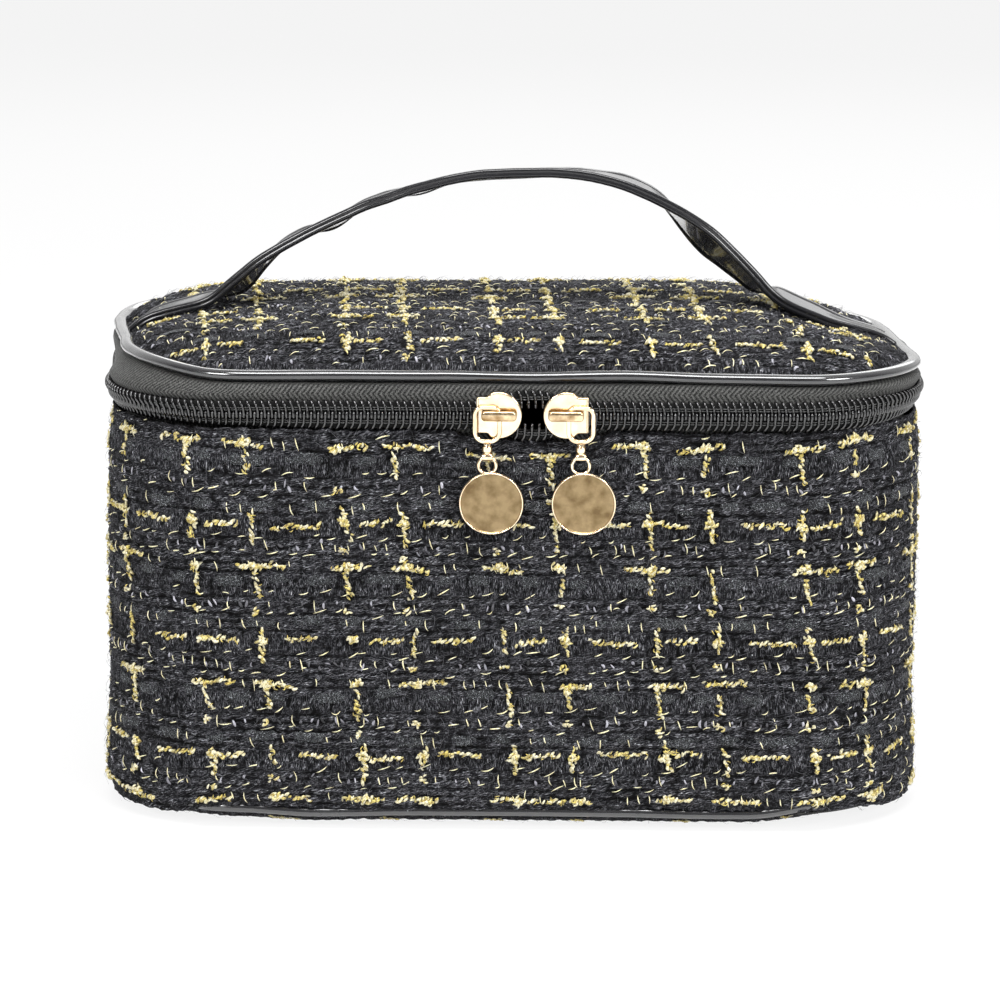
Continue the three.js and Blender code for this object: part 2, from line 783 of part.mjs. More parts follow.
// Puller loop, neck and eye, drawn about the bridge foot that the loop goes round
const loopBack = plateFace + clearance;
const loopMiddle = loopBack + loopThickness / 2;
const loopTop = bridgeFootDiameter / 2 + loopHeadroom + loopWire;
const loopFoot = loopTop - loopLength;
const neckFoot = loopFoot - neckLength;
const ringPivot = neckFoot - eyeHole / 2;

function roundedRect(width, bottom, top, corner) {
  const half = width / 2;
  const shape = new THREE.Shape();
  shape.moveTo(-half + corner, bottom);
  shape.lineTo(half - corner, bottom);
  shape.quadraticCurveTo(half, bottom, half, bottom + corner);
  shape.lineTo(half, top - corner);
  shape.quadraticCurveTo(half, top, half - corner, top);
  shape.lineTo(-half + corner, top);
  shape.quadraticCurveTo(-half, top, -half, top - corner);
  shape.lineTo(-half, bottom + corner);
  shape.quadraticCurveTo(-half, bottom, -half + corner, bottom);
  return shape;
}

function neckProfile() {
  const points = [new THREE.Vector2(0, loopFoot + unionOverlap)];
  const step = neckLength / neckRibs / 3;
  for (let rib = 0; rib < neckRibs; rib += 1) {
    const top = loopFoot + unionOverlap - rib * neckLength / neckRibs;
    points.push(new THREE.Vector2(neckWaist / 2, top));
    points.push(new THREE.Vector2(neckDiameter / 2, top - step));
    points.push(new THREE.Vector2(neckDiameter / 2, top - 2 * step));
  }
  points.push(new THREE.Vector2(neckWaist / 2, neckFoot));
  points.push(new THREE.Vector2(0, neckFoot));
  return points.toReversed();
}

function pullGeometry() {
  const hole = roundedRect(loopWidth - 2 * loopWire, loopFoot + loopWire, loopTop - loopWire,
    loopCorner - loopWire);
  const loop = roundedRect(loopWidth, loopFoot, loopTop, loopCorner);
  loop.holes.push(hole);
  const neck = new THREE.LatheGeometry(neckProfile(), roundSteps / 2);
  neck.rotateX(Math.PI / 2);
  neck.translate(0, -loopMiddle, 0);
  const eye = circleShape(eyeDiameter, 0);
  eye.holes.push(circleShape(eyeHole, 0));
  const eyeSolid = new THREE.ExtrudeGeometry(eye, {
    depth: eyeThickness,
    curveSegments: roundSteps / 2,
    bevelEnabled: false,
  });
  eyeSolid.translate(0, 0, -eyeThickness / 2);
  eyeSolid.rotateY(Math.PI / 2);
  eyeSolid.translate(0, -loopMiddle, ringPivot);
  return joined([proudOf(loop, loopBack, loopBack + loopThickness), neck, eyeSolid]);
}

// Disc charm: a thin raised rim on both faces, hung on a ring that goes through the eye
function discGeometry() {
  const radius = discDiameter / 2;
  const half = discThickness / 2;
  const face = half - discRecess;
  const disc = new THREE.LatheGeometry([
    new THREE.Vector2(0, -face),
    new THREE.Vector2(radius - discRim, -face),
    new THREE.Vector2(radius - discRim, -half),
    new THREE.Vector2(radius - discEdge, -half),
    new THREE.Vector2(radius, -half + discEdge),
    new THREE.Vector2(radius, half - discEdge),
    new THREE.Vector2(radius - discEdge, half),
    new THREE.Vector2(radius - discRim, half),
    new THREE.Vector2(radius - discRim, face),
    new THREE.Vector2(0, face),
  ], discSteps);
  const ringRadius = (ringDiameter - ringWire) / 2;
  const ringMiddle = ringPivot - ringRadius;
  const ring = new THREE.TorusGeometry(ringRadius, ringWire / 2, roundSteps / 4 + 1, roundSteps);
  ring.rotateX(Math.PI / 2);
  ring.translate(0, -loopMiddle, ringMiddle);
  disc.translate(0, -loopMiddle, ringMiddle - ringDiameter / 2 + discLap - radius);
  return joined([disc, ring]);
}

// Sliders with their pullers, mirrored about the place where they meet
for (const [side, sliderX, facing] of [['left', leftSliderX, 1], ['right', rightSliderX, -1]]) {
  const slider = new THREE.Group();
  slider.position.set(sliderX, -halfDepth, zipHeight);
  caseGroup.add(slider);
  const body = sliderGeometry();
  body.scale(facing, 1, 1);
  addPiece(slider, `slider_${side}`, facingOut(body), goldColor, goldRoughness, 1);
  const hanging = new THREE.Group();
  hanging.position.x = -facing * footFromMiddle;
  slider.add(hanging);
  addPiece(hanging, `pull_${side}`, pullGeometry(), goldColor, goldRoughness, 1);
  addPiece(hanging, `disc_${side}`, discGeometry(), goldColor, goldRoughness, 1);
}

export default caseGroup;
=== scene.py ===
import math
import bmesh
import bpy
import numpy as np
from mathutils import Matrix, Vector


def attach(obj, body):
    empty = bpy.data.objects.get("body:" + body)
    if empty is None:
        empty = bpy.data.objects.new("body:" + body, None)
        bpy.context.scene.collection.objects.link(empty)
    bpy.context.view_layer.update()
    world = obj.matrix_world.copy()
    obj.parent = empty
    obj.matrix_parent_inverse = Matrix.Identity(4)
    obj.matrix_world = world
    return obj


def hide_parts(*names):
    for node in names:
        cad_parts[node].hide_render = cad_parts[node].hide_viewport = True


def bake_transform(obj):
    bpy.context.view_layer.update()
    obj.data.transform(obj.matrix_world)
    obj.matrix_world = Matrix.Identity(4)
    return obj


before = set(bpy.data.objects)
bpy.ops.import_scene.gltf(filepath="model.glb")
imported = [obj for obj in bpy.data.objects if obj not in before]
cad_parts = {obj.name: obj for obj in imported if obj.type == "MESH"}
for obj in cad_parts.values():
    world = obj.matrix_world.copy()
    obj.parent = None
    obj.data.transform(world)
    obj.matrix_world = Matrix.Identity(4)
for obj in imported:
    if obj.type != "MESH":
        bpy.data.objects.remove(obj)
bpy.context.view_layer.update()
scene = bpy.context.scene

# ---- camera, floor and lamps
# The camera stands about a metre in front of the case and a little above it, turned a touch to its right.
# A pale floor carries the shadow; big soft lamps overhead and to both sides light the cloth evenly.
camera_place = Vector((0.02367, -1.00935, 0.31382))
camera_aim = Vector((-0.0046, 0.0, 0.0912))
lens = bpy.data.cameras.new("camera")
lens.lens = 123.7
lens.shift_y = -0.0285
lens.clip_start = 0.01
camera = bpy.data.objects.new("camera", lens)
camera.location = camera_place
camera.rotation_euler = (camera_aim - camera_place).to_track_quat("-Z", "Y").to_euler()
scene.collection.objects.link(camera)
scene.camera = camera
scene.view_settings.view_transform = "Standard"


def new_finish(name, colour, roughness, **constants):
    """a material, its node tree and its shader, with the shader's constant values set"""
    finish = bpy.data.materials.new(name)
    finish.use_nodes = True
    shader = finish.node_tree.nodes["Principled BSDF"]
    shader.inputs["Base Color"].default_value = (*colour, 1)
    shader.inputs["Roughness"].default_value = roughness
    for label, value in constants.items():
        shader.inputs[label.replace("_", " ").title().replace("Ior", "IOR")].default_value = value
    return finish, finish.node_tree, shader


def put(tree, kind, settings=None, inputs=None):
    """a shader node with its settings, and values or sockets for its inputs"""
    node = tree.nodes.new("ShaderNode" + kind)
    for label, value in (settings or {}).items():
        setattr(node, label, value)
    for label, value in (inputs or {}).items():
        if isinstance(value, bpy.types.NodeSocket):
            tree.links.new(value, node.inputs[label])
        else:
            node.inputs[label].default_value = value
    return node


def maths(tree, operation, *values):
    return put(tree, "Math", {"operation": operation}, dict(enumerate(values))).outputs[0]


def spread(tree, value, low=0.0, high=1.0, to_low=0.0, to_high=1.0):
    """a value taken from one range to another, and held in it"""
    return put(tree, "MapRange", inputs={"Value": value, 1: low, 2: high, 3: to_low, 4: to_high}).outputs[0]


def noise(tree, scale, detail=2.0, place=None, **others):
    """smooth random values over a place, or over the piece's own box"""
    at = {} if place is None else {"Vector": place}
    return put(tree, "TexNoise", inputs={**at, "Scale": scale, "Detail": detail, **others}).outputs["Fac"]


def blended(tree, share, low, high, kind="MIX"):
    """a colour between two, or the two multiplied"""
    low, high = ((*tone, 1) if isinstance(tone, tuple) else tone for tone in (low, high))
    settings = {"data_type": "RGBA", "blend_type": kind}
    return put(tree, "Mix", settings, {0: share, 6: low, 7: high}).outputs[2]


def ramp(tree, value, first, last, *others):
    """a colour looked up by a value, between stops of (place, red, green, blue)"""
    node = put(tree, "ValToRGB", inputs={0: value})
    stops = node.color_ramp.elements
    stops[0].position, stops[0].color = first[0], (*first[1:], 1)
    stops[1].position, stops[1].color = last[0], (*last[1:], 1)
    for place, *colour in others:
        stops.new(place).color = (*colour, 1)
    return node.outputs[0]


def join(tree, shader, **sockets):
    """leads colours and values to the shader's inputs of these names"""
    for label, socket in sockets.items():
        tree.links.new(socket, shader.inputs[label.replace("_", " ").title()])


def relief(tree, shader, height, strength, depth):
    """makes the surface look raised by a height"""
    bump = put(tree, "Bump", inputs={"Strength": strength, "Distance": depth, "Height": height})
    tree.links.new(bump.outputs[0], shader.inputs["Normal"])


floor_reach, floor_height = 6.0, -0.0002
floor_mesh = bpy.data.meshes.new("floor")
floor_mesh.from_pydata([(x * floor_reach, y * floor_reach, floor_height)
                        for x, y in ((-1, -1), (1, -1), (1, 1), (-1, 1))], [], [(0, 1, 2, 3)])
floor = bpy.data.objects.new("floor", floor_mesh)
scene.collection.objects.link(floor)
floor_finish, tree, shader = new_finish("pale_floor", (0.9, 0.9, 0.9), 0.9)
join(tree, shader, base_color=spread(tree, noise(tree, 3.0), to_low=0.88, to_high=0.92))
white = put(tree, "Emission", inputs={"Color": (1, 1, 1, 1), "Strength": 1.0})
whiteness = maths(tree, "MULTIPLY", put(tree, "LightPath").outputs["Is Camera Ray"], 0.86)
mixed = put(tree, "MixShader", inputs={0: whiteness, 1: shader.outputs[0], 2: white.outputs[0]})
tree.links.new(mixed.outputs[0], tree.nodes["Material Output"].inputs["Surface"])
floor_mesh.materials.append(floor_finish)

# Seen directly the room is white; the case mirrors a cove that darkens in front, and a screen behind it
world = bpy.data.worlds.new("studio")
scene.world = world
world.use_nodes = True
tree = world.node_tree
room = tree.nodes["Background"]
room.inputs["Color"].default_value = (1, 1, 1, 1)
room.inputs["Strength"].default_value = 0.2
backdrop = put(tree, "Background", inputs={"Color": (1, 1, 1, 1), "Strength": 1.0})
seen = put(tree, "LightPath").outputs
toward = put(tree, "SeparateXYZ", inputs={0: put(tree, "TexCoord").outputs["Generated"]}).outputs
cove = spread(tree, toward[1], -0.24, 0.26, 0.1, 1.0)
screen = spread(tree, toward[2], 0.01, 0.06, -0.8, 1.2)
far_back = spread(tree, toward[1], 0.6, 0.9)
cove_lit = maths(tree, "MULTIPLY", cove, maths(tree, "MULTIPLY_ADD", screen, far_back, 1.0))
mirrored = maths(tree, "MULTIPLY", seen["Is Glossy Ray"], cove_lit)
direct = maths(tree, "MAXIMUM", seen["Is Camera Ray"], seen["Is Transmission Ray"])
either = put(tree, "MixShader", inputs={0: maths(tree, "MAXIMUM", direct, mirrored), 1: room.outputs[0],
                                        2: backdrop.outputs[0]})
tree.links.new(either.outputs[0], tree.nodes["World Output"].inputs["Surface"])


lamp_aim = Vector((0, 0, 0.09))
for name, place, width, height, watts in (("overhead", (0.1, -0.45, 1.5), 1.1, 0.5, 26),
                                          ("front_left", (-0.9, -1.3, 1.1), 0.5, 0.5, 19),
                                          ("front_right", (1.2, -1.1, 0.9), 0.5, 0.5, 20),
                                          ("behind", (0.2, 1.5, 1.1), 1.4, 0.8, 10)):
    lamp = bpy.data.lights.new(name, "AREA")
    lamp.shape = "RECTANGLE"
    lamp.size, lamp.size_y, lamp.energy = width, height, watts
    held = bpy.data.objects.new(name, lamp)
    held.location = place
    held.rotation_euler = (lamp_aim - Vector(place)).to_track_quat("-Z", "Y").to_euler()
    scene.collection.objects.link(held)

# ---- base panel
# The underside: a panel of the same tweed on which the case stands, turned up at its edge into the seam.
# Woven of thick black yarn in courses, with bouclé in cream and gold, flat ribbon and gold thread.
half_width, half_depth, corner = 0.118, 0.066, 0.041
reach_x, reach_y = half_width - corner, half_depth - corner
quarter = corner * math.pi / 2
runs = [reach_x, quarter, 2 * reach_y, quarter, 2 * reach_x, quarter, 2 * reach_y, quarter, reach_x]
walked = np.concatenate([[0], np.cumsum(runs)])
outline_length = walked[-1]
front_middle = outline_length / 2
walk_x = np.array([0, -1, -1, -1, -1, 1, 1, 1, 1, 0]) * reach_x
walk_y = np.array([1, 1, 1, -1, -1, -1, -1, 1, 1, 1]) * reach_y
walk_turn = np.array([2, 2, 3, 3, 4, 4, 5, 5, 6, 6]) * math.pi / 2


def round_case(along, height, out):
    """points on the case's outline, walked from the middle of the back past the left side"""
    along = np.mod(along, outline_length)
    turn = np.interp(along, walked, walk_turn)
    grown = corner + out
    return np.stack([np.interp(along, walked, walk_x) + grown * np.sin(turn),
                     np.interp(along, walked, walk_y) - grown * np.cos(turn),
                     height + 0 * along], axis=-1)


def ease(share):
    """a soft step from 0 to 1"""
    share = np.clip(share, 0, 1)
    return share * share * (3 - 2 * share)


def inset_of(x, y):
    """how far a place lies inside the case's outline"""
    over = np.stack([np.abs(x) - reach_x, np.abs(y) - reach_y], axis=-1)
    beyond = np.maximum(over, 0)
    return corner - np.hypot(beyond[..., 0], beyond[..., 1]) - np.minimum(over.max(axis=-1), 0)


def nudge(piece, shift):
    """moves the points of a soft piece by what shift gives for their places"""
    flat = np.empty(3 * len(piece.data.vertices), np.float32)
    piece.data.vertices.foreach_get("co", flat)
    place = flat.reshape(-1, 3)
    piece.data.vertices.foreach_set("co", (place + shift(*place.T)).astype(np.float32).ravel())


def patchy(u, v, size_u, size_v, seed):
    """smooth random values from -1 to 1 that change over these lengths"""
    table = np.random.default_rng(seed).uniform(-1, 1, (256, 256))
    a, b = u / size_u, v / size_v
    i, j = np.floor(a).astype(int), np.floor(b).astype(int)
    s, t = a - i, b - j
    s, t = s * s * (3 - 2 * s), t * t * (3 - 2 * t)
    i, j = i % 256, j % 256
    k, m = (i + 1) % 256, (j + 1) % 256
    return ((table[i, j] * (1 - s) + table[k, j] * s) * (1 - t)
            + (table[i, m] * (1 - s) + table[k, m] * s) * t)


# Layout of the weave: plaid rows and stripes that repeat, in metres
repeat_v = 0.0342
repeat_u = 0.0432
stripe_lean = -0.075
gold_rows = (0.0, 0.0213)
gold_stripes = (0.0, 0.0172)
ribbon_rows = (0.0038, 0.0163)
thread_rows = (0.0076, 0.0131, 0.0255, 0.0304)
speck_rows = (0.0112, 0.0284)
course_pitch = 0.00245
float_length = 0.0058
ply_twist, roll_height, twist_height = 0.0019, 0.00115, 0.0002
post_pitch, post_hop, post_height = 0.0017, 0.0036, 0.0011
full_height = 0.0012


def in_repeat(v, rows, half):
    """how near v is to one of the rows of the repeat: 1 on it, 0 beyond half a row away"""
    near = np.zeros_like(v)
    for row in rows:
        gap = np.abs(np.mod(-v - row + repeat_v / 2, repeat_v) - repeat_v / 2)
        near = np.maximum(near, np.clip(1 - gap / half, 0, 1))
    return near


def weave(u, v):
    """height of the black cloth over its backing, how upright its yarns stand, and how raised it is, which
    sets the painted shade in its hollows
    """
    v = v + 0.0006 * patchy(u, v, 0.011, 0.005, 3) + 0.0004 * patchy(u, v, 0.03, 0.02, 4)
    # Yarns that lie along the courses: one roll for each float, twisted from two plies
    course = np.floor(v / course_pitch)
    across = v / course_pitch - course
    phase = np.random.default_rng(7).uniform(0, 1, 512)[(course % 512).astype(int)]
    drift = 0.25 * patchy(u, v, 0.013, course_pitch, 5)
    along = np.mod(u / float_length + phase + drift, 1)
    roll = np.sin(np.pi * across) ** 0.7 * np.sin(np.pi * along) ** 0.4
    lean = np.where(np.mod(course, 2) > 0, 1.0, 0.7)
    twist = np.sin(2 * np.pi * (u / ply_twist - across * lean + phase))
    flat = roll * (roll_height + twist_height * twist)
    # Yarns that stand: short posts that hop over the courses, most of them about the speck rows
    stand = u / post_pitch + 0.35 * patchy(u, v, 0.01, 0.003, 8)
    post = np.abs(np.sin(np.pi * stand)) ** 0.7
    hop = np.abs(np.sin(np.pi * (v / post_hop + 0.5 * np.mod(np.floor(stand), 2)))) ** 0.4
    tall = post * hop * post_height
    upright = np.clip(2.2 * in_repeat(v, speck_rows, 0.0034), 0, 1)
    upright = np.clip(upright + 0.5 * patchy(u, v, 0.006, 0.004, 9), 0, 1)
    height = flat * (1 - upright) + tall * upright
    height = height + 0.00028 * patchy(u, v, 0.0021, 0.0016, 10) + 0.0002 * patchy(u, v, 0.011, 0.007, 11)
    return height, upright, np.clip(height / full_height, 0, 1)


def new_piece(name, points, faces, finish, layers=None):
    """a smooth mesh object from points in metres, with named values on its points"""
    mesh = bpy.data.meshes.new(name)
    mesh.from_pydata(np.asarray(points).reshape(-1, 3).tolist(), [],
                     faces if isinstance(faces, list) else faces.tolist())
    for label, values in (layers or {}).items():
        values = np.asarray(values, np.float32)
        wide = values.ndim > 1
        layer = mesh.attributes.new(label, "FLOAT_VECTOR" if wide else "FLOAT", "POINT")
        layer.data.foreach_set("vector" if wide else "value", values.ravel())
    mesh.shade_smooth()
    mesh.materials.append(finish)
    piece = bpy.data.objects.new(name, mesh)
    scene.collection.objects.link(piece)
    return piece


def grid_faces(rows, columns, closed=False):
    """quads of a grid of points, row by row; closed joins its last column to its first"""
    i = np.arange(rows - 1)[:, None]
    j = np.arange(columns if closed else columns - 1)[None, :]
    k = (j + 1) % columns
    return np.stack([i * columns + j, i * columns + k, (i + 1) * columns + k,
                     (i + 1) * columns + j], axis=-1).reshape(-1, 4)


def new_effect(name, takes, gives):
    """a shader node group with named outputs, and named inputs that start at these values"""
    group = bpy.data.node_groups.new(name, "ShaderNodeTree")
    for label, value in takes.items():
        kind = "NodeSocketVector" if isinstance(value, tuple) else "NodeSocketFloat"
        group.interface.new_socket(label, in_out="INPUT", socket_type=kind).default_value = value
    for label in gives:
        group.interface.new_socket(label, in_out="OUTPUT", socket_type="NodeSocketFloat")
    return group, group.nodes.new("NodeGroupInput").outputs, group.nodes.new("NodeGroupOutput").inputs


# Fibres: fine streaks that lie along the cloth and lean a little, from the cloth's own coordinates
fibre_effect, given, made = new_effect(
    "fibre_streaks", {"Cloth": (0, 0, 0), "Lean": 0.15, "Along": 500.0, "Across": 4200.0}, ["Streaks"])
parts = put(fibre_effect, "SeparateXYZ", inputs={0: given["Cloth"]}).outputs
leaned = maths(fibre_effect, "MULTIPLY", parts[0], given["Lean"])
level = maths(fibre_effect, "SUBTRACT", parts[1], leaned)
long_way = maths(fibre_effect, "MULTIPLY", parts[0], given["Along"])
short_way = maths(fibre_effect, "MULTIPLY", level, given["Across"])
laid = put(fibre_effect, "CombineXYZ", inputs={0: long_way, 1: short_way}).outputs[0]
streaks = noise(fibre_effect, 1.0, 2.5, laid, Roughness=0.62, Distortion=0.9)
fibre_effect.links.new(streaks, made["Streaks"])


def read(tree, label):
    """a value named on the piece's points"""
    values = put(tree, "Attribute", {"attribute_name": label}).outputs
    return values["Vector" if label == "cloth" else "Fac"]


def fibres_of(tree, cloth, lean, along, across):
    """fibre streaks over the cloth's own coordinates"""
    return put(tree, "Group", {"node_tree": fibre_effect},
               {"Cloth": cloth, "Lean": lean, "Along": along, "Across": across}).outputs[0]


# Black wool cloth: streaks along the courses and up the posts, with painted shade in the hollows and painted
# light on the raised tops
cloth_finish, tree, shader = new_finish("black_tweed", (0.02, 0.02, 0.023), 0.8, specular_ior_level=0.1)
cloth = read(tree, "cloth")
lying, standing = fibres_of(tree, cloth, 0.2, 760.0, 4000.0), fibres_of(tree, cloth, 0.0, 3900.0, 800.0)
fibres = put(tree, "Mix", inputs={0: read(tree, "upright"), 2: lying, 3: standing}).outputs[0]
grey = ramp(tree, fibres, (0.42, 0.001, 0.001, 0.002), (0.72, 0.5, 0.51, 0.54),
            (0.52, 0.019, 0.019, 0.02128), (0.61, 0.108, 0.108, 0.12096))
# painted shade and light: the colour darkens where the cloth lies low and brightens where it stands high
painted_hollow_shade = spread(tree, read(tree, "raised"), 0.1, 0.9, 0.06, 1.25)
join(tree, shader, base_color=blended(tree, 1.0, grey, painted_hollow_shade, "MULTIPLY"))
relief(tree, shader, fibres, 0.8, 0.0004)

# Bouclé: one ply of cream cotton and one wrapped in gold thread, with painted shade where its lumps lie low
slub_finish, tree, shader = new_finish("cream_and_gold_slub", (0.8, 0.75, 0.55), 0.5)
cloth, gilt = read(tree, "cloth"), read(tree, "gilt")
fibres = fibres_of(tree, cloth, 0.8, 1800.0, 2600.0)
speckle = spread(tree, fibres, 0.4, 0.58)
cream = blended(tree, speckle, (0.46, 0.4, 0.2), (0.81, 0.78, 0.63))
gold = blended(tree, speckle, (0.2, 0.13, 0.02), (0.78, 0.66, 0.2))
# painted shade: each lump's colour darkens the lower it lies over the cloth
painted_low_shade = spread(tree, put(tree, "SeparateXYZ", inputs={0: cloth}).outputs[2], 0.0004, 0.0013, 0.12, 1.0)
join(tree, shader, base_color=blended(tree, 1.0, blended(tree, gilt, cream, gold), painted_low_shade, "MULTIPLY"),
     metallic=maths(tree, "MULTIPLY", maths(tree, "MULTIPLY", speckle, gilt), 0.8))
relief(tree, shader, fibres, 0.7, 0.0003)

# Gold thread: flat metallic yarn
thread_finish, tree, shader = new_finish("gold_thread", (0.95, 0.88, 0.55), 0.4, metallic=0.35)
fibres = fibres_of(tree, read(tree, "cloth"), 0.5, 2600.0, 2600.0)
worn = spread(tree, fibres, 0.35, 0.56)
join(tree, shader, base_color=blended(tree, worn, (0.5, 0.41, 0.16), (0.9, 0.86, 0.6)),
     roughness=spread(tree, fibres, to_low=0.2, to_high=0.45))

# Ribbon: dark open gauze with a ladder of short bright cross threads
ribbon_finish, tree, shader = new_finish("grey_ribbon", (0.12, 0.13, 0.15), 0.6, specular_ior_level=0.2)
cloth = read(tree, "cloth")
rungs, posts = fibres_of(tree, cloth, 0.05, 2300.0, 7800.0), fibres_of(tree, cloth, 0.0, 5200.0, 900.0)
tone = maths(tree, "MULTIPLY_ADD", posts, 0.45, rungs)
join(tree, shader, base_color=ramp(tree, tone, (0.74, 0.004, 0.004, 0.005), (0.97, 0.72, 0.76, 0.8),
                                   (0.83, 0.06, 0.065, 0.07)))
relief(tree, shader, tone, 0.7, 0.0003)

# Loose fibres and pale specks of the black yarn
hair_finish, tree, shader = new_finish("black_fibre", (0.02, 0.02, 0.024), 0.6)
shade = blended(tree, read(tree, "gilt"), (0.012, 0.012, 0.014), (0.7, 0.69, 0.78))
matted = spread(tree, noise(tree, 1400.0), 0.35, 0.62, 0.3, 1.0)
join(tree, shader, base_color=blended(tree, 1.0, shade, matted, "MULTIPLY"))


def spin(paths, sides):
    """closed tubes along paths in cloth space: points, faces and a tint for each point"""
    turn = np.linspace(0, 2 * np.pi, sides, endpoint=False)
    cosine, sine = np.cos(turn)[None, :, None], np.sin(turn)[None, :, None]
    points, faces, tints, base = [], [], [], 0
    for path, radius, flat, tint in paths:
        ahead = np.gradient(path, axis=0)
        ahead /= np.linalg.norm(ahead, axis=1)[:, None] + 1e-12
        side = np.stack([ahead[:, 1], -ahead[:, 0], 0 * ahead[:, 0]], axis=1)
        size = np.linalg.norm(side, axis=1)[:, None]
        side = np.where(size > 0.05, side / (size + 1e-12), np.array([0.0, 1.0, 0.0]))
        up = np.cross(side, ahead)
        wide = np.broadcast_to(radius, len(path))[:, None, None]
        ring = path[:, None] + wide * (cosine * side[:, None] + flat * sine * up[:, None])
        points.append(ring.reshape(-1, 3))
        tints.append(np.repeat(np.broadcast_to(tint, len(path)), sides))
        faces += (grid_faces(len(path), sides, True) + base).tolist()
        faces.append(list(range(base + sides - 1, base - 1, -1)))
        faces.append(list(range(base + (len(path) - 1) * sides, base + len(path) * sides)))
        base += len(path) * sides
    return np.concatenate(points), faces, np.concatenate(tints)


def slub_yarn(rng, start, end, knot):
    """one visible stretch of bouclé: slanted lumps of its two plies, and bits of binding thread"""
    start, end = np.array(start), np.array(end)
    length = np.linalg.norm(end - start)
    ahead = (end - start) / length
    aside = np.array([-ahead[1], ahead[0], 0])
    share = np.linspace(-0.5, 0.5, 5)
    plies = []

    def lump(at, off, lean, reach, radius, lift, tint):
        way = ahead * math.cos(lean) + aside * math.sin(lean)
        bow = (aside * math.cos(lean) - ahead * math.sin(lean)) * rng.normal(0, 0.00018)
        path = start + (end - start) * at + aside * off + way * (share * reach)[:, None]
        path = path + bow * np.cos(np.pi * share)[:, None]
        path[:, 2] = lift + 0.0004 * np.cos(np.pi * share)
        plies.append((path, radius * np.array([0.5, 0.95, 1, 0.9, 0.5]), 0.85, min(max(tint, 0), 1)))

    def ply_tint():
        return rng.normal(0.12, 0.12) if rng.random() < 0.62 else rng.normal(0.8, 0.15)

    count = max(2, round(length / 0.00084))
    for k in range(count):
        at = (k + 0.5 + rng.normal(0, 0.22)) / count
        lump(at, rng.normal(0, 0.00036), rng.normal(0.6, 0.42), rng.uniform(0.0010, 0.002),
             rng.uniform(0.00028, 0.00054), 0.0008 + rng.normal(0, 0.00024), ply_tint())
    for _ in range(int(length / 0.0011)):
        lump(rng.uniform(0, 1), rng.normal(0, 0.0004), rng.normal(0.9, 0.8), rng.uniform(0.0007, 0.0015),
             0.00016, 0.0012, 1.0)
    for _ in range(3 * knot):
        turn, away = rng.uniform(0, 2 * np.pi), 0.0013 * math.sqrt(rng.random())
        lump(0.5 + away * math.cos(turn) / length, away * math.sin(turn), rng.uniform(-0.5, 2.2),
             rng.uniform(0.0008, 0.0016), rng.uniform(0.00024, 0.00046),
             0.0014 - 0.3 * away + rng.normal(0, 0.0002), ply_tint())
    return plies


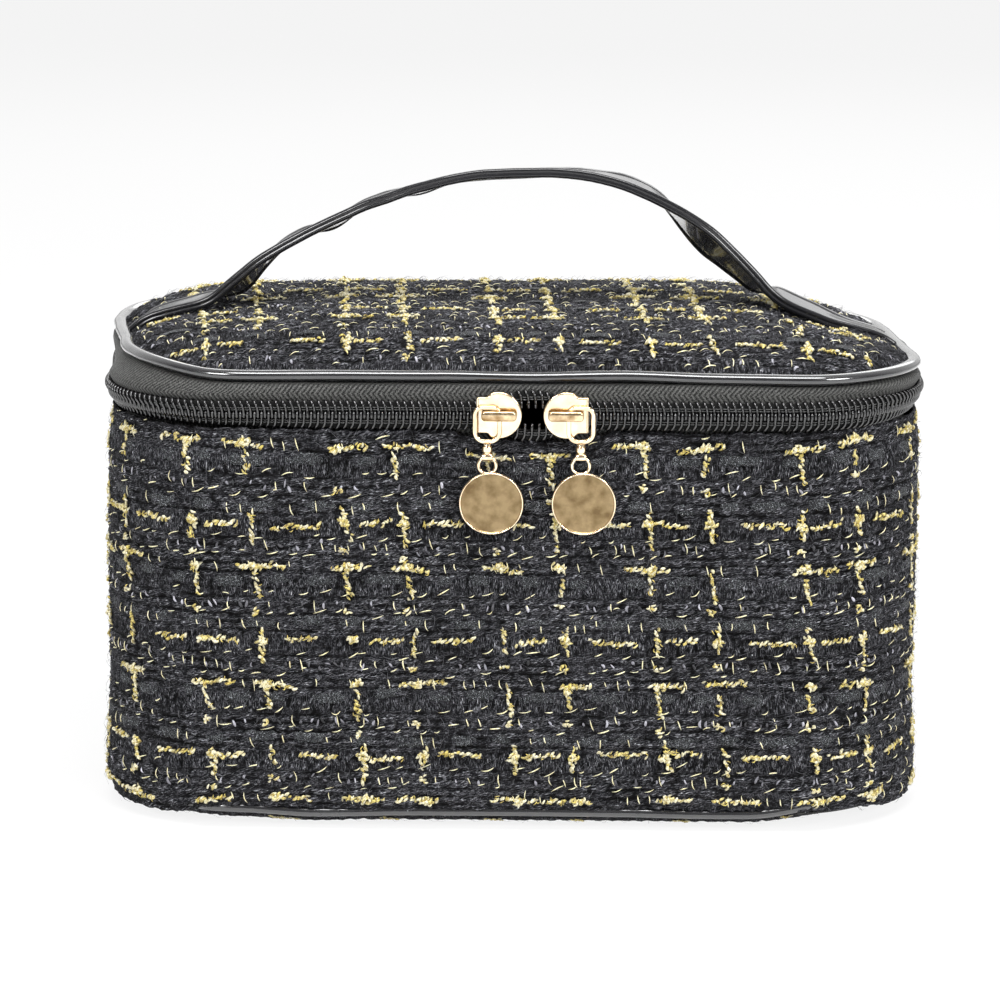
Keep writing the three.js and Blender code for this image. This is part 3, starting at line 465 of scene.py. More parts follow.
def decorate(low_u, high_u, low_v, high_v, seed, shift=(0.0, 0.0)):
    """the yarns that lie over the black cloth of a panel: bouclé, gold threads, ribbons and specks"""
    rng = np.random.default_rng(seed)
    slubs, threads, ribbons, specks = [], [], [], []

    def inside(u, v, margin=0.0012):
        return low_u + margin < u < high_u - margin and low_v + margin < v < high_v - margin

    def row_heights(rows):
        first = math.floor((shift[1] - high_v) / repeat_v) - 1
        last = math.ceil((shift[1] - low_v) / repeat_v) + 1
        return [shift[1] - k * repeat_v - row for k in range(first, last + 1) for row in rows]

    def stripe_places(v):
        first = math.floor((low_u - shift[0]) / repeat_u) - 2
        last = math.ceil((high_u - shift[0]) / repeat_u) + 2
        return [k * repeat_u + stripe + shift[0] + stripe_lean * v
                for k in range(first, last + 1) for stripe in gold_stripes]

    for row, v in enumerate(row_heights(gold_rows)):
        if not low_v < v < high_v:
            continue
        odd = row % 2
        for stripe, u in enumerate(stripe_places(v)):
            wander = rng.normal(0, 0.0005, 8)
            length = rng.uniform(0.0095, 0.0145) if stripe % 2 or not odd else rng.uniform(0.0085, 0.0105)
            between = 0.0134 if stripe % 2 else 0.0076
            middle_u = u + (between if odd else 0.0006) + wander[0] * 3
            ends = (middle_u - length / 2, middle_u + length / 2)
            if inside(ends[0], v) and inside(ends[1], v) and rng.random() < 0.93:
                slubs += slub_yarn(rng, (ends[0], v + wander[1], 0), (ends[1], v + wander[2], 0), 0)
            if inside(u, v, 0.003) and rng.random() < 0.75:
                slubs += slub_yarn(rng, (u - 0.0016, v + wander[3], 0), (u + 0.0016, v + wander[4], 0), 4)
            top, foot = (v - 0.0012, v - 0.0088) if not odd else (v + 0.0036, v - 0.0055)
            top, foot = top + rng.normal(0, 0.0008), foot + rng.normal(0, 0.0012)
            if inside(u, top) and inside(u, foot) and rng.random() < 0.9:
                leaned = u + wander[6] - stripe_lean * (top - foot)
                slubs += slub_yarn(rng, (u + wander[5], top, 0), (leaned, foot, 0), 0)
            spot = foot - rng.uniform(0.002, 0.004)
            if inside(u, spot, 0.003) and rng.random() < 0.6:
                slubs += slub_yarn(rng, (u - 0.0009, spot, 0), (u + 0.0009, spot - 0.0006, 0), 1)

    def stitch(u, v, length, lean, width, tint, into, flat, arch=0.0004, steps=5, foot=0.0006, taper=2.4):
        share = np.linspace(-0.5, 0.5, steps)
        bow = rng.normal(0, 0.00022) * np.cos(np.pi * share)
        path = np.stack([u + share * length * math.cos(lean) - bow * math.sin(lean),
                         v + share * length * math.sin(lean) + bow * math.cos(lean),
                         foot + arch * np.cos(np.pi * share)], axis=1)
        if inside(path[0, 0], path[0, 1]) and inside(path[-1, 0], path[-1, 1]):
            into.append((path, width * np.clip(0.3 + taper * (0.5 - np.abs(share)), 0.25, 1), flat, tint))

    def steps_along(first_gap, gaps, wander):
        u = low_u + rng.uniform(0, first_gap)
        while u < high_u:
            yield u
            u += rng.choice(gaps) + rng.normal(0, wander)

    for v in row_heights(thread_rows):
        for u in steps_along(0.006, [0.0042, 0.0066, 0.0085], 0.0007):
            if rng.random() < 0.78:
                stitch(u, v + rng.normal(0, 0.0006), rng.uniform(0.0016, 0.0042), rng.normal(0.3, 0.14),
                       rng.uniform(0.00011, 0.00021), 1, threads, 0.6, 0.0006)
    for v in row_heights(speck_rows):
        for u in steps_along(0.006, [0.0035, 0.0035, 0.0095], 0.0006):
            side = -0.0001 if rng.random() < 0.5 else -0.0058
            stitch(u, v + side + rng.normal(0, 0.0004), rng.uniform(0.0023, 0.0038),
                   rng.normal(-1.38, 0.1), rng.uniform(0.00013, 0.0002), 1, threads, 0.6, 0.0006)
        for u in steps_along(0.003, [0.0018, 0.0036, 0.0062], 0.0004):
            stitch(u, v + rng.normal(0, 0.0006), rng.uniform(0.001, 0.0024), rng.normal(-1.4, 0.4),
                   rng.uniform(0.0002, 0.00044), rng.uniform(0.15, 1.0) ** 2.6, specks, 0.7)
    for v in row_heights(ribbon_rows):
        u = low_u + rng.uniform(0, 0.01)
        while u < high_u:
            worn = rng.uniform(0.0011, 0.0018, 15)
            reach = rng.uniform(0.005, 0.0135)
            stitch(u + reach / 2, v + rng.normal(0, 0.0004), reach, rng.normal(0, 0.04), worn, 0, ribbons,
                   0.1, 0.0006, steps=15, foot=0.0003, taper=9)
            u += reach + rng.uniform(0.002, 0.0085)
    return slubs, threads, ribbons, specks


def fringe(rng, count, low_u, high_u, low_v, high_v):
    """loose hairs that stand off the cloth"""
    hairs = []
    for _ in range(count):
        u, v = rng.uniform(low_u, high_u), rng.uniform(low_v, high_v)
        lean, length = rng.normal(0.2, 0.9), rng.uniform(0.002, 0.0055)
        share = np.linspace(0, 1, 5)
        bow = rng.normal(0, 0.25) * share * share
        lift = rng.uniform(0.0003, 0.0019) * np.sin(np.pi * share * rng.uniform(0.5, 1))
        path = np.stack([u + length * share * np.cos(lean + bow), v + length * share * np.sin(lean + bow),
                         0.0006 + lift], axis=1)
        path[:, :2] = np.clip(path[:, :2], (low_u, low_v), (high_u, high_v))
        if np.ptp(path[:, 0]) + np.ptp(path[:, 1]) > 0.001:
            hairs.append((path, 0.00004 * (1.2 - share), 1.0, rng.uniform(0, 0.22)))
    return hairs


# A piece with more yarns than this is made in two parts, which keeps each under 200,000 triangles
most_yarns = 6000


def dress(name, place, yarns, hairs, mount):
    """hangs the yarns of a panel on it: place puts cloth space on the panel, mount fixes each piece"""
    for label, paths, sides, finish in (("slub", yarns[0], 5, slub_finish),
                                        ("gold_thread", yarns[1], 5, thread_finish),
                                        ("ribbon", yarns[2], 8, ribbon_finish),
                                        ("specks", yarns[3] + hairs, 4, hair_finish)):
        half = len(paths) // 2 if len(paths) > most_yarns else 0
        for part, some in (("", paths[half:]), ("_upper", paths[:half])):
            if not some:
                continue
            points, faces, tints = spin(some, sides)
            piece = new_piece(f"{name}_{label}{part}", place(*points.T), faces, finish,
                              {"cloth": points, "gilt": tints})
            mount(piece)


def clipped_cloth(name, step_u, step_v, inset, surface):
    """a tweed panel of the case's outline, drawn in by inset; surface puts cloth space on it"""
    u, v = np.meshgrid(np.arange(-half_width, half_width + step_u, step_u),
                       np.arange(-half_depth, half_depth + step_v, step_v))
    over_u, over_v = np.abs(u) - reach_x, np.abs(v) - reach_y
    far = np.hypot(np.maximum(over_u, 0), np.maximum(over_v, 0))
    depth = inset_of(u, v)
    faces = grid_faces(*u.shape)
    faces = faces[(depth.ravel()[faces] > inset).any(axis=1)]
    pull = np.where(far > 0, (corner - inset) / np.maximum(far, 1e-9), 1)
    u, v = (np.where(depth < inset, np.sign(at) * np.where(over > 0, reach + over * pull, np.abs(at)), at)
            for at, over, reach in ((u, over_u, reach_x), (v, over_v, reach_y)))
    used, faces = np.unique(faces, return_inverse=True)
    u, v = u.ravel()[used], v.ravel()[used]
    height, upright, raised = weave(u, v)
    return new_piece(name, surface(u, v, height), faces.reshape(-1, 4), cloth_finish,
                     {"cloth": np.stack([u, v, height], axis=1), "upright": upright, "raised": raised})


cloth_base = -0.0006
base_foot = 0.0019


def under_base(u, v, height):
    """the cloth's space laid on the underside, face down"""
    return np.stack([-u, v, base_foot - height], axis=-1)


def lengths_along(line):
    """how far each point of a line lies from its start"""
    return np.concatenate([[0], np.cumsum(np.linalg.norm(np.diff(line, axis=0), axis=1))])


def no_shift(u, s):
    return 0 * u


def swept_cloth(name, start, end, path, lift=no_shift, drop=no_shift, side=1, nap=1.0,
                step_s=0.00062, step_u=0.001):
    """tweed carried round the outline: path runs over [out, height] points across the cloth"""
    path = np.asarray(path, float)
    steps = lengths_along(path)
    normal = np.gradient(path, axis=0)[:, ::-1] * [1, -1]

    def place(u, s, height):
        out, z, n_out, n_z = (np.interp(s, steps, values) for values in (*path.T, *normal.T))
        raised = ((cloth_base + height) * nap + lift(u, s)) * side / (np.hypot(n_out, n_z) + 1e-12)
        return round_case(u, z - drop(u, s) + raised * n_z, out + raised * n_out)

    u, s = np.meshgrid(np.arange(start, end + step_u / 2, step_u), np.arange(0, steps[-1], step_s))
    height, upright, raised = weave(u - front_middle, s + path[0, 1])
    piece = new_piece(name, place(u, s, height), grid_faces(*u.shape), cloth_finish,
                      {"cloth": np.stack([u, s, height], axis=-1).reshape(-1, 3),
                       "upright": upright.ravel(), "raised": raised.ravel()})
    return piece, place, steps[-1]


right_lift, left_lift, left_sink, left_spread = 0.0034, 0.0012, 0.0005, 0.0018


def lift_base(x, y, z):
    """the bottom's front corners stand off the table, the right one more, and the left one spreads"""
    inset = inset_of(x, y)
    share = 1 - 0.5 * ease((inset - 0.003) / 0.006) - 0.5 * ease((inset - 0.012) / 0.02)
    lift = right_lift * ease((x - 0.068) / 0.026) + left_lift * ease((-x - 0.055) / 0.025)
    front = ease((0.02 - y) / 0.05)
    lift = share * lift * front - left_sink * ease((-x - 0.03) / 0.03) * ease((0.104 + x) / 0.02) * front
    aside = -left_spread * ease((-x - 0.088) / 0.022) * front
    return np.stack([aside, 0 * x, lift], axis=1)


base_cloth = clipped_cloth("base_panel_cloth", 0.0012, 0.0009, 0.0085, under_base)
nudge(base_cloth, lift_base)
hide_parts("base_panel")
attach(base_cloth, "case")
plate_area = (-half_width + 0.004, half_width - 0.004, -half_depth + 0.004, half_depth - 0.004)
base_yarns = decorate(*plate_area, 21)


def clear_of_corners(paths, inset):
    """leaves out yarns that would run past the rounded corners"""
    kept = []
    for path, radius, flat, tint in paths:
        over = np.maximum(np.abs(path[:, :2]) - [reach_x, reach_y], 0)
        if np.hypot(over[:, 0], over[:, 1]).max() < corner - inset:
            kept.append((path, radius, flat, tint))
    return kept


def ride_case(piece):
    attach(piece, "case")


def ride_base(piece):
    nudge(piece, lift_base)
    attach(piece, "case")


base_yarns = [clear_of_corners(paths, 0.009) for paths in base_yarns]
dress("base_panel", lambda u, v, h: under_base(u, v, h * 0.5 + 0.0002), base_yarns, [], ride_base)
base_edge_path = [(-0.0022, 0.0034), (-0.0030, 0.0027), (-0.0045, 0.0018), (-0.0060, 0.0013),
                  (-0.0085, 0.0010), (-0.0110, 0.0010)]
base_edge, on_base_edge, _ = swept_cloth("base_panel_edge", 0, outline_length, base_edge_path, side=-1,
                                         nap=0.5, step_s=0.0004, step_u=0.0012)
ride_base(base_edge)
edge_rng = np.random.default_rng(23)
edge_slubs = []
edge_at = 0.004
while edge_at < outline_length - 0.012:
    edge_reach = edge_rng.uniform(0.003, 0.009)
    edge_slubs += slub_yarn(edge_rng, (edge_at, 0.0014, 0), (edge_at + edge_reach, 0.0018, 0), 0)
    edge_at += edge_reach + edge_rng.uniform(0.006, 0.03)
dress("base_edge", on_base_edge, (edge_slubs, [], [], []),
      fringe(edge_rng, 260, 0.0, outline_length, 0.001, 0.005), ride_base)

# ---- base piping, board, lining and binding
# Piping: a cord covered in glossy black leathercloth, whose flange is sewn between base panel and wall.
# A stiff board and a thin lining lie on the base panel; a tape binds the raw seam.
piping_radius, piping_flatness = 0.0016, 1.3
seam_depth = 0.007


def smooth_line(points, times=3):
    """rounds a line of points by cutting its corners; its ends stay"""
    points = np.asarray(points, float)
    for _ in range(times):
        cut = np.empty((2 * len(points), points.shape[1]))
        cut[0], cut[-1] = points[0], points[-1]
        cut[1:-1:2] = 0.75 * points[:-1] + 0.25 * points[1:]
        cut[2:-1:2] = 0.25 * points[:-1] + 0.75 * points[1:]
        points = cut
    return points


def tube_faces(rings, count, closed=False):
    """faces of a skin over rings of points; its ends are capped, or it closes on itself"""
    faces = grid_faces(rings, count, True).tolist()
    last = (rings - 1) * count
    if closed:
        return faces + [[last + j, last + (j + 1) % count, (j + 1) % count, j] for j in range(count)]
    return faces + [list(range(count - 1, -1, -1)), list(range(last, last + count))]


def swept_band(name, profile, along, finish, waver=None, step=0.002, part=None):
    """a band round the case from a loop of (out, height) points; along is its start, end and closing"""
    profile = np.asarray(profile, float)
    start, end, closed = along
    us = np.linspace(start, end, int((end - start) / step) + 1)
    if closed:
        us = us[:-1]
    u, out = np.meshgrid(us, profile[:, 0], indexing="ij")
    z = np.broadcast_to(profile[:, 1], u.shape)
    if waver is not None:
        shift = waver(us)
        out, z = out + shift[0][:, None], z + shift[1][:, None]
    if part is not None:
        z, out = part(u, z, out)
    across = np.broadcast_to(lengths_along(profile), u.shape)
    return new_piece(name, round_case(u, z, out), tube_faces(len(us), len(profile), closed), finish,
                     {"cloth": np.stack([u, across, 0 * u], axis=-1).reshape(-1, 3)})


# Leathercloth: tight grain with creases across, under a glossy coat
grain_effect, given, made = new_effect(
    "leather_grain", {"Place": (0, 0, 0), "Size": 900.0}, ["Grain", "Wear"])
cells = put(grain_effect, "TexVoronoi", {"feature": "DISTANCE_TO_EDGE"},
            {"Vector": given["Place"], "Scale": given["Size"]})
pores = spread(grain_effect, cells.outputs["Distance"], 0.0, 0.25)
folds = noise(grain_effect, 160.0, 4.0, given["Place"])
grain_effect.links.new(maths(grain_effect, "MULTIPLY_ADD", pores, 0.35, folds), made["Grain"])
grain_effect.links.new(noise(grain_effect, 45.0, 3.0, given["Place"]), made["Wear"])


def leathercloth(name, coat, coat_ior, coat_roughness, specular, rough, grain_strength):
    finish, tree, shader = new_finish(name, (0.008, 0.008, 0.009), rough, specular_ior_level=specular,
                                      coat_weight=coat, coat_ior=coat_ior, coat_roughness=coat_roughness)
    grain = put(tree, "Group", {"node_tree": grain_effect},
                {"Place": put(tree, "TexCoord").outputs["Object"], "Size": 900.0}).outputs
    ink = blended(tree, grain["Wear"], (0.004, 0.004, 0.005), (0.017, 0.017, 0.019))
    join(tree, shader, base_color=ink,
         roughness=spread(tree, grain["Wear"], to_low=rough - 0.06, to_high=rough + 0.12))
    relief(tree, shader, grain["Grain"], grain_strength, 0.0002)
    return finish


piping_finish = leathercloth("piping_leathercloth", 1.0, 1.7, 0.1, 0.35, 0.22, 0.2)


def piping_loop(foot):
    """section of the piping: a cord, a little flattened, with its flat flange turned in"""
    turn = np.linspace(-math.pi * 0.62, math.pi * 0.86, 14)
    flattened = piping_flatness * piping_radius
    ring = [(-flattened + flattened * math.cos(a), foot + piping_radius + piping_radius * math.sin(a))
            for a in turn]
    return ring + [(-0.0044, foot + 0.0012), (-seam_depth, foot + 0.0005), (-seam_depth, foot),
                   (-0.0028, foot)]


def piping_waver(seed, amount):
    def shift(us):
        closed = np.cos(2 * np.pi * us / outline_length)
        return (amount * 0.6 * patchy(us, 0 * us, 0.019, 1, seed) * (1 - closed) / 2,
                amount * patchy(us, 0 * us, 0.026, 1, seed + 1) * (1 - closed) / 2)
    return shift


whole_way = (0.0, outline_length, True)
base_flange = 0.0034
base_piping = swept_band("base_piping_cord", piping_loop(base_flange), whole_way, piping_finish,
                         piping_waver(31, 0.0003))
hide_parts("base_piping")
ride_base(base_piping)

# Tape: black herringbone twill, also used for the bindings
tape_finish, tree, shader = new_finish("twill_tape", (0.03, 0.03, 0.032), 0.7, sheen_weight=0.08,
                                       specular_ior_level=0.2)
cloth = read(tree, "cloth")
parts = put(tree, "SeparateXYZ", inputs={0: cloth}).outputs
slope = maths(tree, "MULTIPLY_ADD", maths(tree, "PINGPONG", parts[1], 0.0046), 0.8, parts[0])
ribs = maths(tree, "SINE", maths(tree, "MULTIPLY", slope, 4400.0))
tone = maths(tree, "MULTIPLY_ADD", ribs, 0.085, fibres_of(tree, cloth, -0.7, 3400.0, 4200.0))
join(tree, shader, base_color=ramp(tree, tone, (0.43, 0.001, 0.001, 0.001), (0.64, 0.118, 0.118, 0.113)))
relief(tree, shader, tone, 0.6, 0.0002)


def l_band(name, node, points, body, finish, along=whole_way, part=None):
    band = swept_band(name, points, along, finish, part=part)
    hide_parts(node)
    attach(band, body)
    return band


binding = 0.0006
bound_spine = 0.0073
bound_start = 0.0034
base_leg = base_flange + 0.0008
l_band("base_seam_tape", "base_seam_binding", [
    (-bound_start, base_leg), (-bound_spine, base_leg), (-bound_spine, base_flange),
    (-bound_spine - binding, base_flange), (-bound_spine - binding, base_leg + binding),
    (-bound_start, base_leg + binding)], "case", tape_finish)



def mottled(name, colour, roughness, scale, detail, low, high, **constants):
    """a finish that wanders between two colours"""
    finish, tree, shader = new_finish(name, colour, roughness, **constants)
    join(tree, shader, base_color=blended(tree, noise(tree, scale, detail), low, high))
    return finish


board_finish = mottled("pressed_board", (0.16, 0.14, 0.11), 0.9, 400.0, 5.0, (0.11, 0.095, 0.075),
                       (0.22, 0.19, 0.15))
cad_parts["base_board"].data.materials.clear()
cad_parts["base_board"].data.materials.append(board_finish)

# Lining: thin black polyester in plain weave
lining_finish, tree, shader = new_finish("black_lining", (0.02, 0.02, 0.024), 0.5, sheen_weight=0.2)
place = put(tree, "TexCoord").outputs["Object"]
weft = put(tree, "TexWave", {"wave_type": "BANDS", "bands_direction": "DIAGONAL"},
           {"Vector": place, "Scale": 900.0, "Distortion": 0.6})
crumple = noise(tree, 35.0, 3.0, place)
join(tree, shader, base_color=blended(tree, crumple, (0.01, 0.01, 0.012), (0.04, 0.04, 0.046)))
relief(tree, shader, maths(tree, "MULTIPLY_ADD", weft.outputs["Fac"], 0.05, crumple), 0.5, 0.0015)


def rounded_plate(name, inset, low, high, finish, crown=no_shift, rings=14):
    """a soft plate of the case's outline, drawn in by inset; crown lifts its upper face"""
    edge = round_case(np.linspace(0, outline_length, 240, endpoint=False), 0.0, -inset)
    shares = np.concatenate([np.linspace(0, 1, rings)[:-1] ** 0.8, [0.985]])
    points = []
    for level, order in ((low, shares[::-1]), (high, shares)):
        for share in order:
            ring = edge * (1 - share)
            ring[:, 2] = level
            if level == high and share > 0:
                ring[:, 2] += crown(ring[:, 0], ring[:, 1])
            points.append(ring)
    return new_piece(name, np.concatenate(points), tube_faces(len(points), len(edge)), finish)


foam_inset = 0.004
base_lining = rounded_plate("base_lining_cloth", foam_inset, 0.0056, 0.0062, lining_finish)
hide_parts("base_lining")
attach(base_lining, "case")

# ---- wall
# The wall: tweed outside, a sheet of foam that keeps it upright, and a lining inside; a tape binds the rim.
# The front wrap runs round the front and both sides, and the back panel closes it.
foam_finish, tree, shader = new_finish("grey_foam", (0.6, 0.6, 0.58), 0.95)
bubbles = put(tree, "TexVoronoi", inputs={"Scale": 1500.0}).outputs["Distance"]
join(tree, shader, base_color=blended(tree, bubbles, (0.4, 0.4, 0.38), (0.7, 0.7, 0.67)))
inner_foot, inner_top = 0.0065, 0.1134
foam = 0.0025
lining = 0.0006
lining_inset = 0.0068
wall_foam = l_band("wall_foam", "wall_stiffener", [
    (-foam_inset, inner_foot), (-foam_inset, inner_top), (-foam_inset - foam, inner_top),
    (-foam_inset - foam, inner_foot)], "case", foam_finish)


def soft_wall(name, inset, thick, foot, top, finish):
    """the lining: a thin sheet with the slight fullness of sewn cloth"""
    us = np.arange(0, outline_length, 0.003)
    levels = np.linspace(foot, top, 28)
    u, z = np.meshgrid(us, np.concatenate([levels, levels[::-1]]), indexing="ij")
    fullness = 0.00099 * np.sin(np.pi * (z - foot) / (top - foot)) * (1 + patchy(u, z, 0.02, 0.06, 41)) / 2
    behind = np.repeat([0, thick], len(levels))
    return new_piece(name, round_case(u, z, -inset - behind - fullness),
                     tube_faces(len(us), 2 * len(levels), True), finish)


wall_lining = soft_wall("wall_lining_cloth", lining_inset, lining, inner_foot, inner_top, lining_finish)
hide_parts("wall_lining")
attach(wall_lining, "case")
rim_inset = 0.0077
rim_drop = 0.008
rim_lift = inner_top + 0.0003
l_band("rim_tape", "rim_binding", smooth_line([
    (-foam_inset, rim_lift), (-rim_inset, rim_lift), (-rim_inset, inner_top - rim_drop),
    (-rim_inset - binding, inner_top - rim_drop), (-rim_inset - binding, rim_lift + binding),
    (-foam_inset, rim_lift + binding), (-foam_inset, rim_lift)], 1)[:-1], "case", tape_finish)

wall_foot = 0.0064
hem_top = 0.1163
wall_path = [(-0.0026, wall_foot + 0.0002), (-0.0012, wall_foot - 0.0001), (-0.0003, wall_foot + 0.0006),
             (0.0, wall_foot + 0.0022), (0.0, hem_top - 0.002), (-0.0003, hem_top - 0.0006),
             (-0.0011, hem_top - 0.0001), (-0.0026, hem_top - 0.0008)]
zip_start = 0.0737
wall_turns = (zip_start, outline_length - zip_start)
back_turns = (-0.0734, 0.0734)


def corner_share(u):
    """1 round the two front corners, where the hem rides up and the zip tips over it, 0 elsewhere"""
    along = u - front_middle
    sides = np.maximum(ease((-along - 0.034) / 0.07), ease((along - 0.086) / 0.045))
    return sides * ease((0.215 - np.abs(along)) / 0.05)


foot_swell, corner_swell, left_swell, hem_tuck, wall_wave = 0.0004, 0.0009, 0.0024, 0.0014, 0.0005
hem_dip, foot_sag, foot_wave = 0.0021, 0.0026, 0.0006
left_rise, right_rise = 0.0021, 0.0016


def wall_fullness(u, s):
    """how far the soft wall swells: at its foot, most at the corners, on its left side, and in waves"""
    along = u - front_middle
    turned = np.clip(1.4 - np.abs(np.abs(along) - 0.112) / 0.03, 0, 1)
    foot = np.exp(-((s - 0.009) / 0.011) ** 2)
    left = ease((-along - 0.095) / 0.03) * ease((0.25 + along) / 0.05) * np.clip(1 - s / 0.105, 0, 1)
    tuck = corner_share(u) * ease((s - 0.099) / 0.011)
    return (foot_swell * foot + corner_swell * foot * turned + left_swell * left - hem_tuck * tuck
            + wall_wave * patchy(u, s, 0.045, 0.035, 51))


def wall_drop(u, s):
    """how far the front wrap is drawn down: its hem about the sliders, its foot over the base piping"""
    away = np.clip((np.abs(u - front_middle - 0.00645) - 0.00935) / 0.01665, 0, 1)
    along = u - front_middle
    rise = 0.0008 + left_rise * ease((-along - 0.05) / 0.06) + right_rise * ease((along - 0.07) / 0.03)
    hem = (hem_dip - (hem_dip + rise * ease((0.235 - np.abs(along)) / 0.05)) * ease(away)
           + 0.0005 * patchy(u, 0 * u, 0.016, 1, 52))
    left = np.clip((-along - 0.080) / 0.018, 0, 1) * np.clip((0.15 + along) / 0.02, 0, 1)
    right = np.clip((along - 0.102) / 0.016, 0, 1) * np.clip((0.15 - along) / 0.02, 0, 1)
    sag = foot_sag * np.maximum(left, right) + foot_wave * patchy(u, 0 * u, 0.021, 1, 53)
    return hem * np.clip((s - 0.086) / 0.024, 0, 1) + sag * np.clip((0.016 - s) / 0.016, 0, 1)


front_cloth, on_front, wall_span = swept_cloth("front_wrap_cloth", *wall_turns, wall_path, wall_fullness,
                                               wall_drop)
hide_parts("front_wrap")
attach(front_cloth, "case")
back_cloth, on_back, _ = swept_cloth("back_panel_cloth", *back_turns, wall_path, wall_fullness)
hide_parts("back_panel")
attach(back_cloth, "case")
fringe_rng = np.random.default_rng(61)
plaid_u, plaid_v = -0.0407, 0.0733
back_plaid = plaid_u + repeat_u / 4
front_yarns = decorate(*wall_turns, 0.0012, wall_span - 0.0016, 62, (front_middle + plaid_u, plaid_v))
dress("front_wrap", on_front, front_yarns,
      fringe(fringe_rng, 4200, *wall_turns, 0.001, wall_span - 0.002), ride_case)
dress("back_panel", on_back, decorate(*back_turns, 0.0012, wall_span - 0.0016, 63, (back_plaid, plaid_v)),
      fringe(fringe_rng, 1200, *back_turns, 0.001, wall_span - 0.002), ride_case)

# ---- zip
# A coarse coil zip: two black twill tapes, and a nylon coil sewn along each with a double row of stitches.
# The lower tape is sewn behind the wall's hem, the upper one under the lid's piping.
zip_height = 0.1219
tape = 0.0008
tape_recess = 0.001
zip_way = (*wall_turns, False)
left_slider, right_slider = -0.0029, 0.0158
slider_reach, parting_lag = 0.00635, 0.001
parting, parting_lead = 0.0032, 0.0035


def chain_part(u):
    """how far each half of the chain is parted between the sliders"""
    along = u - front_middle
    run = parting_lead + slider_reach + parting_lag
    open_share = np.clip(np.minimum((along - left_slider + parting_lead) / run,
                                    (right_slider + parting_lead - along) / run), 0, 1)
    return parting * open_share ** 2 * (3 - 2 * open_share)


# The zip tips over by this angle at the front corners and is drawn in there; on the left it stands out
zip_tip, corner_draw, left_stand = 0.5, 0.0018, 0.003


def zip_lean(u, z, out):
    """tips the zip over at the front corners, where it is drawn in; on the left side it stands out"""
    cornering, along = corner_share(u), u - front_middle
    tip = zip_tip * cornering
    z = z - zip_height
    share = np.clip((0.0085 - np.abs(z)) / 0.0035, 0, 1)
    on_left = ease((-along - 0.148) / 0.035) * ease((0.245 + along) / 0.03)
    aside = left_stand * on_left - corner_draw * cornering
    return (zip_height + z * (1 - (1 - np.cos(tip)) * share) - out * np.sin(tip) * share,
            out + (z * np.sin(tip) + aside) * share)


def tape_part(u, z, out):
    """the tape parts and leans with its half of the chain, and keeps its place where it is sewn"""
    away = np.abs(z - zip_height)
    z = z + np.sign(z - zip_height) * chain_part(u) * np.clip((0.0072 - away) / 0.006, 0, 1)
    return zip_lean(u, z, out)


# How far the lid's two ends are shifted to the right, against the place from front to back, in metres
lid_left_side = ((-0.05, -0.041, -0.021, -0.004, 0.011, 0.022, 0.033, 0.045),
                 (0.0053, 0.0053, 0.0027, -0.0012, -0.0036, -0.0035, -0.0022, 0.0))
lid_right_side = ((-0.05, -0.036, -0.019, -0.002, 0.016, 0.033, 0.05),
                  (0.0012, 0.0008, -0.0014, -0.0033, -0.0048, -0.0068, -0.0085))


def lid_shift(x, y, z):
    """how the soft lid's edge lies off the case's outline, with each corner drawn in or out"""
    left, right = ease((-x - 0.06) / 0.05), ease((x - 0.05) / 0.045)
    aside = (left * np.interp(y, *lid_left_side) + right * np.interp(y, *lid_right_side))
    lift = 0.0022 * ease((-x - 0.085) / 0.03) - right * (0.0008 + 0.001 * ease((y + 0.01) / 0.05))
    return np.stack([aside, 0 * aside, lift], axis=-1)


def settle(low, high, lift=1.0):
    """the lid's shift for a soft piece: none at the lower height, all of it from the higher one"""
    def shift(x, y, z):
        return lid_shift(x, y, z) * [1, 1, lift] * ease((z - low) / (high - low))[:, None]
    return shift


l_band("lower_tape", "lower_zip_tape", smooth_line([
    (-tape_recess, zip_height - 0.0012), (-tape_recess - 0.0005, zip_height - 0.0032),
    (-0.0027, zip_height - 0.0047), (-0.0031, hem_top - 0.0026), (-0.0031, hem_top - 0.0123),
    (-0.0038, hem_top - 0.0123), (-0.0038, hem_top - 0.0026), (-0.0035, zip_height - 0.0047),
    (-tape_recess - 0.0005 - tape, zip_height - 0.0032), (-tape_recess - tape, zip_height - 0.0012),
    (-tape_recess, zip_height - 0.0012)], 1)[:-1],
    "case", tape_finish, zip_way, tape_part)
tape_top = 0.1307
upper_tape = l_band("upper_tape", "upper_zip_tape", smooth_line([
    (-tape_recess, zip_height + 0.0012), (-tape_recess + 0.0003, zip_height + 0.0045),
    (-tape_recess + 0.0005, tape_top - 0.0012), (-tape_recess - 0.0002, tape_top), (-seam_depth, tape_top),
    (-seam_depth, tape_top - tape), (-tape_recess - tape, tape_top - tape),
    (-tape_recess - tape, zip_height + 0.0012), (-tape_recess, zip_height + 0.0012)], 1)[:-1],
    "lid", tape_finish, zip_way, tape_part)
nudge(upper_tape, settle(zip_height + 0.0045, tape_top - 0.001))

coil_finish, tree, shader = new_finish("black_nylon_coil", (0.004, 0.004, 0.005), 0.2,
                                       specular_ior_level=1.0)
scuff = noise(tree, 900.0, 2.0, put(tree, "TexCoord").outputs["Object"])
join(tree, shader, base_color=blended(tree, scuff, (0.001, 0.001, 0.001), (0.007, 0.007, 0.008)),
     roughness=spread(tree, scuff, to_low=0.14, to_high=0.28))
sewing_finish = mottled("black_sewing_thread", (0.03, 0.03, 0.03), 0.55, 2500.0, 1.0, (0.01, 0.01, 0.01),
                        (0.09, 0.09, 0.09), sheen_weight=0.3)
filler_finish = mottled("black_filler_cord", (0.004, 0.004, 0.004), 0.85, 2200.0, 2.0,
                        (0.001, 0.001, 0.001), (0.012, 0.012, 0.012), specular_ior_level=0.1)

coil_pitch = 0.002
coil_wire = 0.00033


